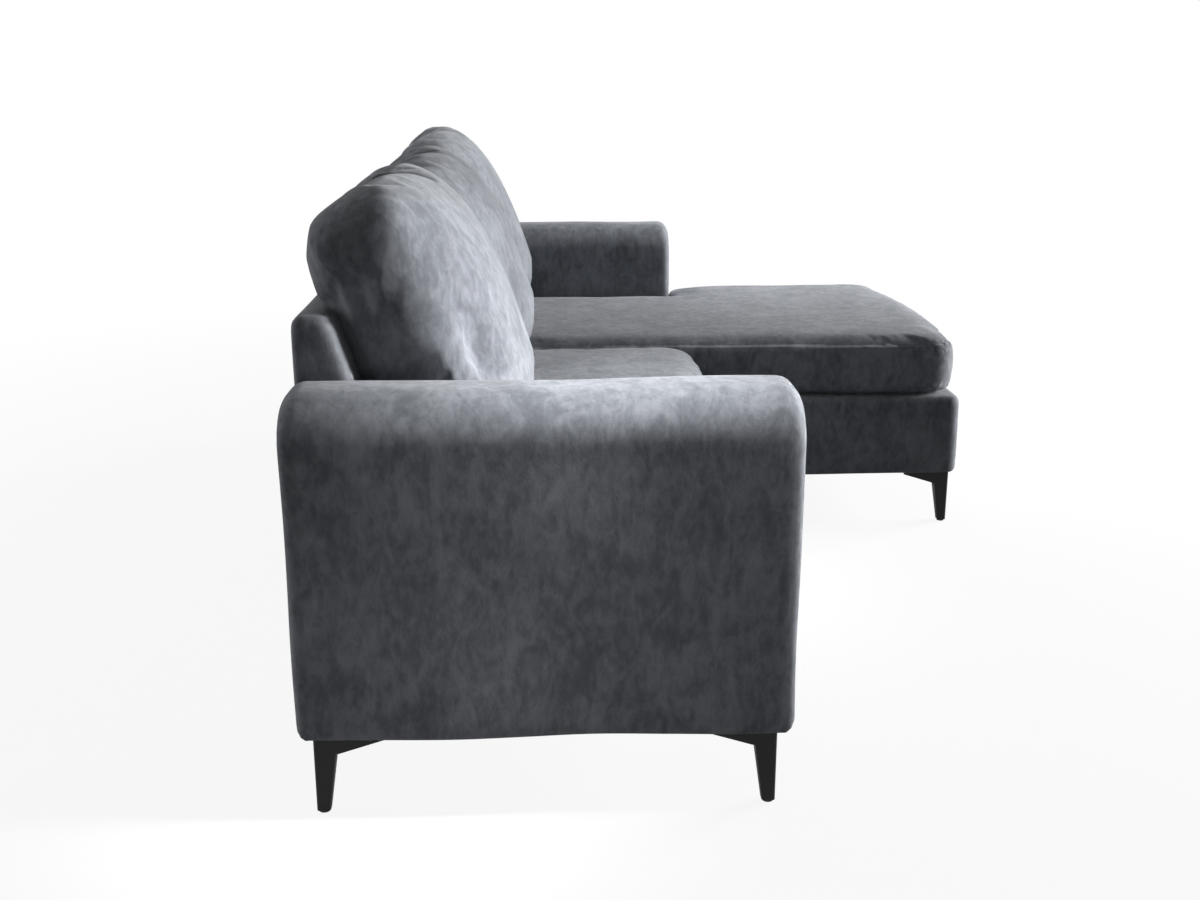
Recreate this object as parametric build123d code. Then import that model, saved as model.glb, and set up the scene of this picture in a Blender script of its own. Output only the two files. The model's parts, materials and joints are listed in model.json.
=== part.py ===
from build123d import *
import math
import os

# Corner sofa: a three-seat frame with two arms, a chaise base in front of the left seat, and loose
# cushions. Millimetres. X runs along the row to the sitter's left, -Y is the front and Z is up.
# The origin is on the floor, under the middle of the sofa's box.

# Whole sofa
overall_length = 2245.0
sofa_depth = 745.0
chaise_depth = 1390.0
chaise_side = 208.0
leg_height = 128.0
deck_height = 322.0
back_height = 738.0
back_top_depth = 50.0
recline = 18.5
arm_width = 178.0
arm_height = 656.0
arm_roll = 70.0
arm_end_round = 50.0
arm_corner = 24.0
arm_foot = 8.0
seat_setback = 10.0
chaise_corner = 30.0
chaise_edge = 18.0
back_edge = 16.0
deck_edge = 12.0

# Upholstery layers
cloth = 2.5
lining = 1.0
side_pad = 14.0
arm_top_pad = 45.0
back_front_pad = 20.0
back_top_pad = 18.0
back_rear_pad = 4.0
front_pad = 12.0
deck_pad = 20.0
chaise_top_pad = 16.0

# Clearances
fit_gap = 0.3
rest_gap = 0.4
cushion_gap = 3.0
chaise_gap = 2.0

# Timber
board = 25.0
side_panel = 4.0
arm_rail = 30.0
post_width = 45.0
post_depth = 60.0
cross_rail_width = 70.0
cross_rail_height = 40.0
cross_rail_count = 3
back_rail_height = 60.0
back_rail_depth = 22.0
upright_foot = 100.0
upright_count = 4
chaise_board = 18.0
corner_block = 95.0
corner_block_height = 40.0

# Springs and webbing
spring_wire = 3.8
spring_width = 62.0
spring_pitch = 32.0
spring_spacing = 120.0
clip_height = 10.0
clip_depth = 16.0
clip_width = 24.0
web_width = 60.0
web_thickness = 2.0
web_lap = 40.0
webs_per_bay = 3

# Corner legs
leg_inset = 20.0
chaise_leg_inset = 10.0
leg_top = 38.0
leg_foot = 21.0
leg_round = 5.0
wing_length = 112.0
wing_depth = 28.0
wing_tip = 5.0
wing_thickness = 5.0
plate_thickness = 3.0
plate_tip = 30.0
plate_screws = ((90.0, 30.0), (56.0, 56.0), (30.0, 90.0))
glide_height = 4.0
glide_radius = 8.5
peg_radius = 3.0
peg_length = 8.0
peg_clearance = 0.1

# Centre support leg
support_top_radius = 20.0
support_foot_radius = 14.0
support_plate_radius = 33.0
support_screw_radius = 26.0
support_screw_count = 3

# Screws and bolts
screw_radius = 2.0
screw_length = 22.0
screw_head_radius = 4.0
screw_head_height = 2.5
screw_clearance = 0.4
thread_bite = 0.3
bolt_radius = 4.0
bolt_grip = 30.0
bolt_head_radius = 7.0
bolt_head_height = 5.0
bolt_edge = 12.0
bolt_levels = (45.0, 125.0)

# Seat and chaise cushions
seat_thickness = 130.0
seat_crown = 16.0
seat_edge = 18.0
seat_belly = 3.0
seat_corner = 60.0
seat_run = 165.0
seat_rear_run = 40.0
seat_draw = 5.0
seat_bow = 8.0
chaise_bow = 28.0

# Outlines that a rounded edge, an arm's roll and a cushion's crown are lofted through: how many there
# are, how much rounder they are at the top of the crown, and the share of a side that a corner may take
edge_steps = 2
roll_steps = 5
crown_steps = 4
crown_rounding = 150.0
corner_share = 0.42

# Back cushions
back_cushion_height = 456.0
back_thickness = 150.0
back_crown = 96.0
back_cushion_edge = 22.0
back_belly = 4.0
back_corner = 70.0
back_side_run = 185.0
back_top_run = 215.0
back_bottom_run = 60.0
back_draw = 7.0

# Places that follow from the sizes above
y_rear = (chaise_depth + chaise_bow) / 2
y_arm = y_rear - sofa_depth
y_chaise = y_rear - chaise_depth
x_end = overall_length / 2
x_in = x_end - arm_width
x_back = x_in - cloth - fit_gap
lean = math.radians(recline)
skin = cloth + fit_gap + side_pad
frame_floor = leg_height + lining
clip_top = deck_height - cloth - deck_pad
rail_top = clip_top - clip_height
y_seat = y_arm + seat_setback
y_front_rail = y_seat + cloth + front_pad
y_back_frame = y_rear - cloth - back_rear_pad
y_rear_rail = y_back_frame - upright_foot
y_rail_inside = y_front_rail + board
y_rear_rail_front = y_rear_rail - board
seat_top = deck_height + rest_gap + seat_thickness + seat_crown
plate_bottom = leg_height - plate_thickness


def back_face(z, inset=0.0):
    """Y of the back's leaning front face at a height, or of a face that lies inset behind it."""
    return y_rear - back_top_depth - (back_height - z) * math.tan(lean) + inset / math.cos(lean)


def block(x0, x1, y0, y1, z0, z1):
    """A box between two opposite corners."""
    return Pos((x0 + x1) / 2, (y0 + y1) / 2, (z0 + z1) / 2) * Box(x1 - x0, y1 - y0, z1 - z0)


def prism_x(points, x0, x1, radii=0):
    """A closed Y-Z outline, its corners rounded, carried along X."""
    face = make_face(FilletPolyline(*points, radius=radii, close=True))
    return Pos(x0, 0, 0) * extrude(Plane.YZ * face, x1 - x0)


def rod(start, axis, radius, length):
    """A round bar from a point along a direction."""
    return Solid.make_cylinder(radius, length, Plane(origin=start, z_dir=axis))


def inset_corners(corners, insets):
    """Move each side of a square-cornered outline inwards by its own inset."""
    count = len(corners)
    normals = []
    for i in range(count):
        dx = corners[(i + 1) % count][0] - corners[i][0]
        dy = corners[(i + 1) % count][1] - corners[i][1]
        reach = math.hypot(dx, dy)
        normals.append((-dy / reach, dx / reach))
    moved = []
    for i, (x, y) in enumerate(corners):
        before, after = normals[i - 1], normals[i]
        x += insets[i - 1] * before[0] + insets[i] * after[0]
        y += insets[i - 1] * before[1] + insets[i] * after[1]
        moved.append(Vector(x, y))
    return moved


def soft_outline(corners, radius, hollow, draws, z):
    """A closed outline at one height, with sides that bow in by their draw and round corners.

    The corners have one radius, and the inner corner of an L has another, hollow.
    """
    count = len(corners)
    lift = Vector(0, 0, z)
    ways = [(corners[(i + 1) % count] - corners[i]) for i in range(count)]
    limits = [corner_share * min(ways[i - 1].length, ways[i].length) for i in range(count)]
    ways = [way.normalized() for way in ways]
    inner = [ways[i - 1].cross(ways[i]).Z < 0 for i in range(count)]
    radii = [min(hollow if turned else radius, limit) for turned, limit in zip(inner, limits)]
    edges = []
    for i in range(count):
        nxt = (i + 1) % count
        start = corners[i] + ways[i] * radii[i] + lift
        stop = corners[nxt] - ways[i] * radii[nxt] + lift
        inward = Vector(-ways[i].Y, ways[i].X)
        if draws[i]:
            middle = (start + stop) * 0.5 + inward * draws[i]
            edges.append(Edge.make_three_point_arc(start, middle, stop))
        else:
            edges.append(Edge.make_line(start, stop))
        turn = ways[nxt] - ways[i]
        middle = corners[nxt] + turn * (radii[nxt] * (1 - math.sqrt(0.5))) + lift
        end = corners[nxt] + ways[nxt] * radii[nxt] + lift
        edges.append(Edge.make_three_point_arc(stop, middle, end))
    return Wire(edges)


def arc_inset(radius, depth):
    """How far a rounded edge has drawn in, at a depth below the surface that it rounds into."""
    reach = max(radius - depth, 0.0)
    return radius - math.sqrt(radius**2 - reach**2)


def upholstered(box, corner, roll, ends, foot, inset=0.0):
    """A padded block, rounded as seen from above (corner), the front (roll) and the side (ends).

    The lower edges are rounded by foot, and inset shrinks the whole form on every side.
    """
    x0, x1, y0, y1, z0, z1 = box
    x0, y0, z0 = x0 + inset, y0 + inset, z0 + inset
    x1, y1, z1 = x1 - inset, y1 - inset, z1 - inset
    low, top, end, plan = [max(radius - inset, inset) for radius in (foot, roll, ends, corner)]
    corners = [(x0, y0), (x1, y0), (x1, y1), (x0, y1)]
    levels = []
    for i in range(edge_steps + 1):
        bend = math.radians(90 * i / edge_steps)
        drawn = low * (1 - math.sin(bend))
        levels.append((z0 + low * (1 - math.cos(bend)), drawn, drawn, max(plan - drawn, low)))
    for i in range(roll_steps + 1):
        depth = max(top, end) * (1 - math.sin(math.radians(90 * i / roll_steps)))
        levels.append((z1 - depth, arc_inset(end, depth), arc_inset(top, depth), plan))
    wires = []
    for z, front, side, radius in levels:
        outline = inset_corners(corners, [front, side, front, side])
        wires.append(soft_outline(outline, radius, radius, [0.0, 0.0, 0.0, 0.0], z))
    return Part() + Solid.make_loft(wires, ruled=True)


def soft_layers(thickness, edge, belly, crown):
    """Height, edge inset and share of the crown's run for each outline of a cushion, upwards."""
    bends = [math.radians(90 * i / edge_steps) for i in range(edge_steps + 1)]
    rising = [(edge * (1 - math.cos(a)), belly + (edge - belly) * (1 - math.sin(a)), 0.0) for a in bends]
    falling = [(thickness - height, inset, share) for height, inset, share in reversed(rising[1:])]
    shares = [i / crown_steps for i in range(crown_steps + 1)]
    dome = [(thickness + crown * (1 - (1 - share) ** 2), edge, share) for share in shares]
    return rising + [(thickness / 2, 0.0, 0.0)] + falling + dome


def cushion(corners, runs, draws, thickness, edge, belly, crown, corner, slant=0.0, shrink=0.0):
    """A crowned cushion with drawn-in sides, lofted through outlines from its flat face up.

    The first side can slant outwards with height, and shrink makes it smaller all round.
    """
    full = thickness + crown
    wires = []
    for height, inset, share in soft_layers(thickness, edge, belly, crown):
        z = shrink + height * (full - 2 * shrink) / full
        insets = [shrink + inset + share * run for run in runs]
        insets[0] -= z * slant
        radius = max(corner - inset, edge) + share * crown_rounding
        hollow = arm_corner + cushion_gap + shrink + inset
        wires.append(soft_outline(inset_corners(corners, insets), radius, hollow, draws, z))
    return Solid.make_loft(wires, ruled=True)


def covered(place, corners, runs, draws, *sizes, slant=0.0):
    """A cushion's cover, as a closed shell of cloth, and the filling inside it."""
    outer = cushion(corners, runs, draws, *sizes, slant=slant)
    cavity = cushion(corners, runs, draws, *sizes, slant=slant, shrink=cloth)
    filling = cushion(corners, runs, draws, *sizes, slant=slant, shrink=cloth + fit_gap)
    return place * (Part() + outer - cavity), place * filling


def seat_cushions():
    """The two seat cushions and the L-shaped chaise cushion, as covers and cores."""
    sizes = (seat_thickness, seat_edge, seat_belly, seat_crown, seat_corner)
    place = Pos(0, 0, deck_height + rest_gap)
    rear = back_face(deck_height) - cushion_gap
    names = ("right", "middle")
    pitch = (chaise_side + x_in - cushion_gap) / len(names)
    x0 = -x_in + cushion_gap
    x1 = x0 + pitch - cushion_gap
    corners = [(x0, y_arm), (x1, y_arm), (x1, rear), (x0, rear)]
    runs = [seat_run, seat_run, seat_rear_run, seat_run]
    draws = [-seat_bow, seat_draw, 0.0, seat_draw]
    cover, core = covered(place, corners, runs, draws, *sizes)
    made = {}
    for i, name in enumerate(names):
        made[f"seat_cushion_{name}_cover"] = Pos(i * pitch, 0, 0) * cover
        made[f"seat_cushion_{name}_core"] = Pos(i * pitch, 0, 0) * core
    x_arm = x_in - cushion_gap
    y_notch = y_arm - cushion_gap
    corners = [
        (chaise_side, y_chaise),
        (x_end, y_chaise),
        (x_end, y_notch),
        (x_arm, y_notch),
        (x_arm, rear),
        (chaise_side, rear),
    ]
    runs = [seat_run, seat_run, seat_run, seat_run, seat_rear_run, seat_run]
    draws = [-chaise_bow, seat_draw, seat_draw, seat_draw, 0.0, seat_draw]
    cover, core = covered(place, corners, runs, draws, *sizes)
    made["chaise_cushion_cover"] = cover
    made["chaise_cushion_core"] = core
    return made


def back_cushions():
    """The three leaning back cushions, as covers and fillings, standing on the seat cushions."""
    sizes = (back_thickness, back_cushion_edge, back_belly, back_crown, back_corner)
    z_rest = seat_top + rest_gap
    place = Plane(
        origin=(0, back_face(z_rest, -rest_gap), z_rest),
        x_dir=(1, 0, 0),
        z_dir=(0, -math.cos(lean), math.sin(lean)),
    )
    names = ("right", "middle", "left")
    pitch = (2 * x_in - cushion_gap) / len(names)
    runs = [back_bottom_run, back_side_run, back_top_run, back_side_run]
    draws = [0.0, back_draw, back_draw, back_draw]
    x0 = -x_in + cushion_gap
    x1 = x0 + pitch - cushion_gap
    corners = [(x0, 0), (x1, 0), (x1, back_cushion_height), (x0, back_cushion_height)]
    cover, filling = covered(place, corners, runs, draws, *sizes, slant=math.tan(lean))
    made = {}
    for i, name in enumerate(names):
        made[f"back_cushion_{name}_cover"] = Pos(i * pitch, 0, 0) * cover
        made[f"back_cushion_{name}_filling"] = Pos(i * pitch, 0, 0) * filling
    return made


def screw(x, y, z):
    """A pan-head wood screw driven upwards, with the underside of its head at z."""
    shank = rod((x, y, z), (0, 0, 1), screw_radius, plate_thickness + screw_length)
    head = rod((x, y, z - screw_head_height), (0, 0, 1), screw_head_radius, screw_head_height)
    return Part() + shank + head


def screw_bores(places, radius, z0, z1):
    """Straight bores for screws, between two heights."""
    return [rod((x, y, z0), (0, 0, 1), radius, z1 - z0) for x, y in places]


def glide(x, y):
    """A plastic floor glide with the peg that holds it in a leg."""
    pad = rod((x, y, 0), (0, 0, 1), glide_radius, glide_height)
    peg = rod((x, y, glide_height), (0, 0, 1), peg_radius, peg_length)
    return Part() + pad + peg


def glide_bore(x, y):
    """The bore in a leg's foot that takes a glide's peg."""
    return rod((x, y, glide_height), (0, 0, 1), peg_radius + peg_clearance, peg_length + peg_clearance)


def corner_leg():
    """A corner leg with its outer corner at the origin and its wings along +X and +Y."""
    sections = []
    for width, z in ((leg_foot, glide_height), (leg_top, leg_height)):
        sections.append(Pos(width / 2, width / 2, z) * RectangleRounded(width, width, leg_round))
    leg = Part() + loft(sections, ruled=True)
    start = leg_top / 2
    wing = make_face(
        Polyline(
            (start, leg_height),
            (wing_length, leg_height),
            (wing_length, leg_height - wing_tip),
            (leg_top, leg_height - wing_depth),
            (start, leg_height - wing_depth),
            close=True,
        )
    )
    wing = extrude(Plane.XZ * wing, -wing_thickness)
    leg += wing
    leg += mirror(wing, Plane(origin=(0, 0, 0), z_dir=(1, -1, 0)))
    plate = make_face(
        Polyline(
            (wing_thickness, wing_thickness),
            (wing_length, wing_thickness),
            (wing_length, plate_tip),
            (plate_tip, wing_length),
            (wing_thickness, wing_length),
            close=True,
        )
    )
    leg += Pos(0, 0, plate_bottom) * extrude(plate, plate_thickness)
    leg -= screw_bores(plate_screws, screw_radius + screw_clearance, plate_bottom, leg_height)
    leg -= glide_bore(leg_foot / 2, leg_foot / 2)
    return leg


def corner_places(x0, x1, y0, y1, inset):
    """Where a corner leg goes at each corner of a plan, in turn from its -X, -Y corner."""
    return [
        Pos(x0 + inset, y0 + inset, 0) * Rot(0, 0, 0),
        Pos(x1 - inset, y0 + inset, 0) * Rot(0, 0, 90),
        Pos(x1 - inset, y1 - inset, 0) * Rot(0, 0, 180),
        Pos(x0 + inset, y1 - inset, 0) * Rot(0, 0, 270),
    ]


def carried(place, points):
    """Plan points of a corner leg, carried to its place under the frame."""
    moved = [place * Pos(x, y, 0) for x, y in points]
    return [(spot.position.X, spot.position.Y) for spot in moved]


def support_screws():
    """Plan points of the screws of the centre support leg."""
    turns = [2 * math.pi * i / support_screw_count for i in range(support_screw_count)]
    y_mid = (y_rail_inside + y_rear_rail_front) / 2
    return [(support_screw_radius * math.cos(a), y_mid + support_screw_radius * math.sin(a)) for a in turns]


def legs():
    """The arm legs, the centre support leg, and their screws and glides."""
    places = corner_places(-x_end, x_end, y_arm, y_rear, leg_inset)
    names = ("right_front_leg", "left_front_leg", "left_rear_leg", "right_rear_leg")
    shape = corner_leg()
    made = {name: place * shape for name, place in zip(names, places)}
    spots = arm_screws()
    feet = [carried(place, [(leg_foot / 2, leg_foot / 2)])[0] for place in places]
    y_mid = (y_rail_inside + y_rear_rail_front) / 2
    post = Solid.make_cone(support_foot_radius, support_top_radius, plate_bottom - glide_height)
    support = Part() + Pos(0, y_mid, glide_height) * post
    support += rod((0, y_mid, plate_bottom), (0, 0, 1), support_plate_radius, plate_thickness)
    bore = screw_radius + screw_clearance
    support -= screw_bores(support_screws(), bore, plate_bottom, leg_height)
    support -= glide_bore(0, y_mid)
    made["centre_support_leg"] = support
    made["leg_screws"] = Compound([screw(x, y, plate_bottom).solid() for x, y in spots + support_screws()])
    made["leg_glides"] = Compound([glide(x, y).solid() for x, y in feet + [(0, y_mid)]])
    return made


def arm_screws():
    """Plan points of the screws that hold the four arm legs."""
    places = corner_places(-x_end, x_end, y_arm, y_rear, leg_inset)
    return [spot for place in places for spot in carried(place, plate_screws)]


def bolt_places():
    """Seats of the left arm's bolt heads: two on the seat's end rail, two on the end upright."""
    rail = (x_in - board, y_arm + skin + post_depth - bolt_edge)
    upright = (x_back - board, y_rear - skin - post_depth + bolt_edge)
    return [(x, y, leg_height + level) for x, y in (rail, upright) for level in bolt_levels]


def bolt_bores(side, radius):
    """Bores along the bolts of one arm; side is -1 for the right arm and 1 for the left."""
    tip = x_in + skin + side_panel + bolt_grip
    return [rod((side * x, y, z), (side, 0, 0), radius, tip - x) for x, y, z in bolt_places()]


def frame_bolts():
    """The bolts that hold the arms to the seat and the back."""
    bolts = []
    for side in (-1, 1):
        for shank, (x, y, z) in zip(bolt_bores(side, bolt_radius), bolt_places()):
            head = rod((side * x, y, z), (-side, 0, 0), bolt_head_radius, bolt_head_height)
            bolts.append((Part() + shank + head).solid())
    return {"frame_bolts": Compound(bolts)}


def arms():
    """The padded right arm, with its cover, padding, posts, rails and panels, and its mirror image."""
    x0, x1 = -x_end, -x_in
    box = (x0, x1, y_arm, y_rear, leg_height, arm_height)
    rounds = (arm_corner, arm_roll, arm_end_round, arm_foot)
    z_floor = leg_height + cloth
    z_top = arm_height - arm_top_pad
    fx0, fx1, fy0, fy1 = x0 + skin, x1 - skin, y_arm + skin, y_rear - skin
    clear = bolt_bores(-1, bolt_radius + screw_clearance)
    holes = screw_bores(arm_screws(), screw_radius + screw_clearance, leg_height, z_floor)
    pilots = screw_bores(arm_screws(), screw_radius - thread_bite, z_floor, leg_height + screw_length)
    threads = bolt_bores(-1, bolt_radius - thread_bite)
    cover = upholstered(box, *rounds) - upholstered(box, *rounds, inset=cloth)
    frame = block(fx0, fx1, fy0, fy1, z_floor, z_top)
    padding = upholstered(box, *rounds, inset=cloth + fit_gap) - frame
    px0, px1 = fx0 + side_panel, fx1 - side_panel
    z0, z1 = z_floor + arm_rail, z_top - arm_rail
    posts = [block(px1 - post_width, px1, y, y + post_depth, z0, z1) for y in (fy0, fy1 - post_depth)]
    panels = [
        block(fx0, px0, fy0, fy1, z_floor, z_top) - clear,
        block(px1, fx1, fy0, fy1, z_floor, z_top) - clear,
    ]
    right = {
        "arm_cover": cover - holes - clear,
        "arm_padding": padding - clear,
        "arm_posts": Compound([(post - threads).solid() for post in posts]),
        "arm_top_rail": block(px0, px1, fy0, fy1, z1, z_top),
        "arm_bottom_rail": block(px0, px1, fy0, fy1, z_floor, z0) - pilots,
        "arm_panels": Compound([panel.solid() for panel in panels]),
    }
    made = {}
    for name, piece in right.items():
        made[f"right_{name}"] = piece
        made[f"left_{name}"] = mirror(piece, Plane.YZ)
    return made


def back():
    """The leaning back between the arms: cover, padding, uprights, rails and webbing."""
    z_top = back_height - cloth - back_top_pad
    web_face = cloth + back_front_pad
    frame_face = web_face + web_thickness
    hull = [
        (y_rear, leg_height),
        (y_rear, back_height),
        (back_face(back_height), back_height),
        (back_face(deck_height), deck_height),
        (y_rear_rail, deck_height),
        (y_rear_rail, leg_height),
    ]
    rounds = [0, back_edge, back_edge, 0, 0, 0]
    z_in = back_height - cloth
    y_in = y_rear - cloth
    cavity = [
        (y_in, leg_height),
        (y_in, z_in),
        (back_face(z_in, cloth), z_in),
        (back_face(deck_height, cloth), deck_height),
        (y_rear_rail, deck_height),
        (y_rear_rail, leg_height),
    ]
    tight = back_edge - cloth
    rounds_in = [0, tight, tight, 0, 0, 0]
    cover = prism_x(hull, -x_in, x_in, rounds)
    cover -= prism_x(cavity, -x_in + cloth, x_in - cloth, rounds_in)
    cover -= block(-x_in, x_in, y_rear_rail, y_in, leg_height, deck_height)

    z_pad = z_in - fit_gap
    y_pad = y_in - fit_gap
    pad_inset = cloth + fit_gap
    outer = [
        (y_pad, frame_floor),
        (y_pad, z_pad),
        (back_face(z_pad, pad_inset), z_pad),
        (back_face(deck_height, pad_inset), deck_height),
        (y_rear_rail, deck_height),
        (y_rear_rail, frame_floor),
    ]
    inner = [
        (y_back_frame, frame_floor),
        (y_back_frame, z_top),
        (back_face(z_top, web_face), z_top),
        (back_face(deck_height, web_face), deck_height),
        (y_rear_rail, deck_height),
        (y_rear_rail, frame_floor),
    ]
    padding = prism_x(outer, -x_back, x_back, [0, tight, tight, 0, 0, 0]) - prism_x(inner, -x_back, x_back)

    z_rail = z_top - back_rail_height
    top_rail = [
        (y_back_frame, z_rail),
        (y_back_frame, z_top),
        (back_face(z_top, frame_face), z_top),
        (back_face(z_rail, frame_face), z_rail),
    ]
    z_low = deck_height + back_rail_height
    low_rail = [
        (back_face(deck_height, frame_face), deck_height),
        (back_face(deck_height, frame_face) + back_rail_depth, deck_height),
        (back_face(z_low, frame_face) + back_rail_depth, z_low),
        (back_face(z_low, frame_face), z_low),
    ]
    upright = [
        (y_rear_rail, frame_floor),
        (y_back_frame, frame_floor),
        (y_back_frame, z_rail),
        (back_face(z_rail, frame_face), z_rail),
        (back_face(deck_height, frame_face), deck_height),
        (y_rear_rail, deck_height),
    ]
    notch = prism_x(low_rail, -x_back, x_back)
    bores = [bore for side in (-1, 1) for bore in bolt_bores(side, bolt_radius + screw_clearance)]
    bay = (2 * x_back - board) / (upright_count - 1)
    starts = [-x_back + i * bay for i in range(upright_count)]
    uprights = [prism_x(upright, x, x + board) - notch - bores for x in starts]

    straps = []
    strap = [
        (back_face(z_low - web_lap, web_face), z_low - web_lap),
        (back_face(z_low - web_lap, frame_face), z_low - web_lap),
        (back_face(z_rail + web_lap, frame_face), z_rail + web_lap),
        (back_face(z_rail + web_lap, web_face), z_rail + web_lap),
    ]
    for start in starts[:-1]:
        step = (bay - board) / webs_per_bay
        for i in range(webs_per_bay):
            middle = start + board + (i + 0.5) * step
            straps.append(prism_x(strap, middle - web_width / 2, middle + web_width / 2).solid())
    return {
        "back_cover": cover - bores,
        "back_padding": padding - bores,
        "back_top_rail": prism_x(top_rail, -x_back, x_back),
        "back_lower_rail": notch,
        "back_uprights": Compound([piece.solid() for piece in uprights]),
        "back_webbing": Compound(straps),
    }


def zigzag_spring(x):
    """A zigzag spring along Y whose first and last bars lie in the clips on the two seat rails."""
    y0 = y_front_rail + board / 2
    y1 = y_rear_rail - board / 2
    turns = round((y1 - y0) / spring_pitch)
    radius = (y1 - y0) / turns / 2
    reach = spring_width / 2 - spring_wire / 2 - radius
    z = rail_top + clip_height / 2
    edges = []
    for i in range(turns):
        side = 1 if i % 2 == 0 else -1
        y = y0 + 2 * radius * i
        edges.append(Edge.make_line((x - side * reach, y, z), (x + side * reach, y, z)))
        top = (x + side * (reach + radius), y + radius, z)
        edges.append(Edge.make_three_point_arc((x + side * reach, y, z), top, (x + side * reach, y + 2 * radius, z)))
    side = 1 if turns % 2 == 0 else -1
    edges.append(Edge.make_line((x - side * reach, y1, z), (x + side * reach, y1, z)))
    path = Wire(edges)
    section = Plane(origin=path @ 0, z_dir=path % 0) * Circle(spring_wire / 2)
    return sweep(section, path=path).solid()


def spring_clip(x, y):
    """A clip on a seat rail, with the bore that holds a spring's end bar."""
    z = rail_top + clip_height / 2
    body = Pos(x, y, z) * Box(clip_width, clip_depth, clip_height)
    bore = rod((x - clip_width, y, z), (1, 0, 0), spring_wire / 2 + fit_gap / 3, 2 * clip_width)
    return (body - bore).solid()


def seat():
    """The sprung seat between the arms: rails, springs, clips, pads, deck cover and dust cover."""
    z_pad = deck_height - cloth
    y_cloth = y_seat + cloth
    bores = [bore for side in (-1, 1) for bore in bolt_bores(side, bolt_radius + screw_clearance)]
    inside = x_in - board
    ends = [
        block(-x_in, -inside, y_rail_inside, y_rear_rail_front, frame_floor, rail_top) - bores,
        block(inside, x_in, y_rail_inside, y_rear_rail_front, frame_floor, rail_top) - bores,
    ]
    pilots = screw_bores(support_screws(), screw_radius - thread_bite, frame_floor, leg_height + screw_length)
    step = 2 * inside / (cross_rail_count + 1)
    half = cross_rail_width / 2
    z_cross = frame_floor + cross_rail_height
    cross = []
    for i in range(cross_rail_count):
        x = -inside + (i + 1) * step
        cross.append(block(x - half, x + half, y_rail_inside, y_rear_rail_front, frame_floor, z_cross) - pilots)
    count = math.floor((2 * inside - spring_width) / spring_spacing)
    places = [(i - (count - 1) / 2) * spring_spacing for i in range(count)]
    rows = (y_front_rail + board / 2, y_rear_rail - board / 2)
    bare = [(y_cloth, clip_top), (y_rear_rail, clip_top), (y_rear_rail, z_pad), (y_cloth, z_pad)]
    sheet = [
        (y_seat, leg_height),
        (y_cloth, leg_height),
        (y_cloth, z_pad),
        (y_rear_rail, z_pad),
        (y_rear_rail, deck_height),
        (y_seat, deck_height),
    ]
    tight = deck_edge - cloth
    vents = screw_bores(support_screws(), screw_radius + screw_clearance, leg_height, frame_floor)
    return {
        "seat_front_rail": block(-x_in, x_in, y_front_rail, y_rail_inside, frame_floor, rail_top),
        "seat_rear_rail": block(-x_in, x_in, y_rear_rail_front, y_rear_rail, frame_floor, rail_top),
        "seat_end_rails": Compound([piece.solid() for piece in ends]),
        "seat_cross_rails": Compound([piece.solid() for piece in cross]),
        "seat_springs": Compound([zigzag_spring(x) for x in places]),
        "seat_spring_clips": Compound([spring_clip(x, y) for x in places for y in rows]),
        "seat_deck_pad": prism_x(bare, -x_in, x_in, [0, 0, 0, tight]),
        "seat_front_pad": block(-x_in, x_in, y_cloth, y_front_rail, frame_floor, clip_top),
        "seat_deck_cover": prism_x(sheet, -x_in, x_in, [0, 0, tight, 0, 0, deck_edge]),
        "seat_dust_cover": block(-x_in, x_in, y_cloth, y_back_frame, leg_height, frame_floor) - vents,
    }


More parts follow.
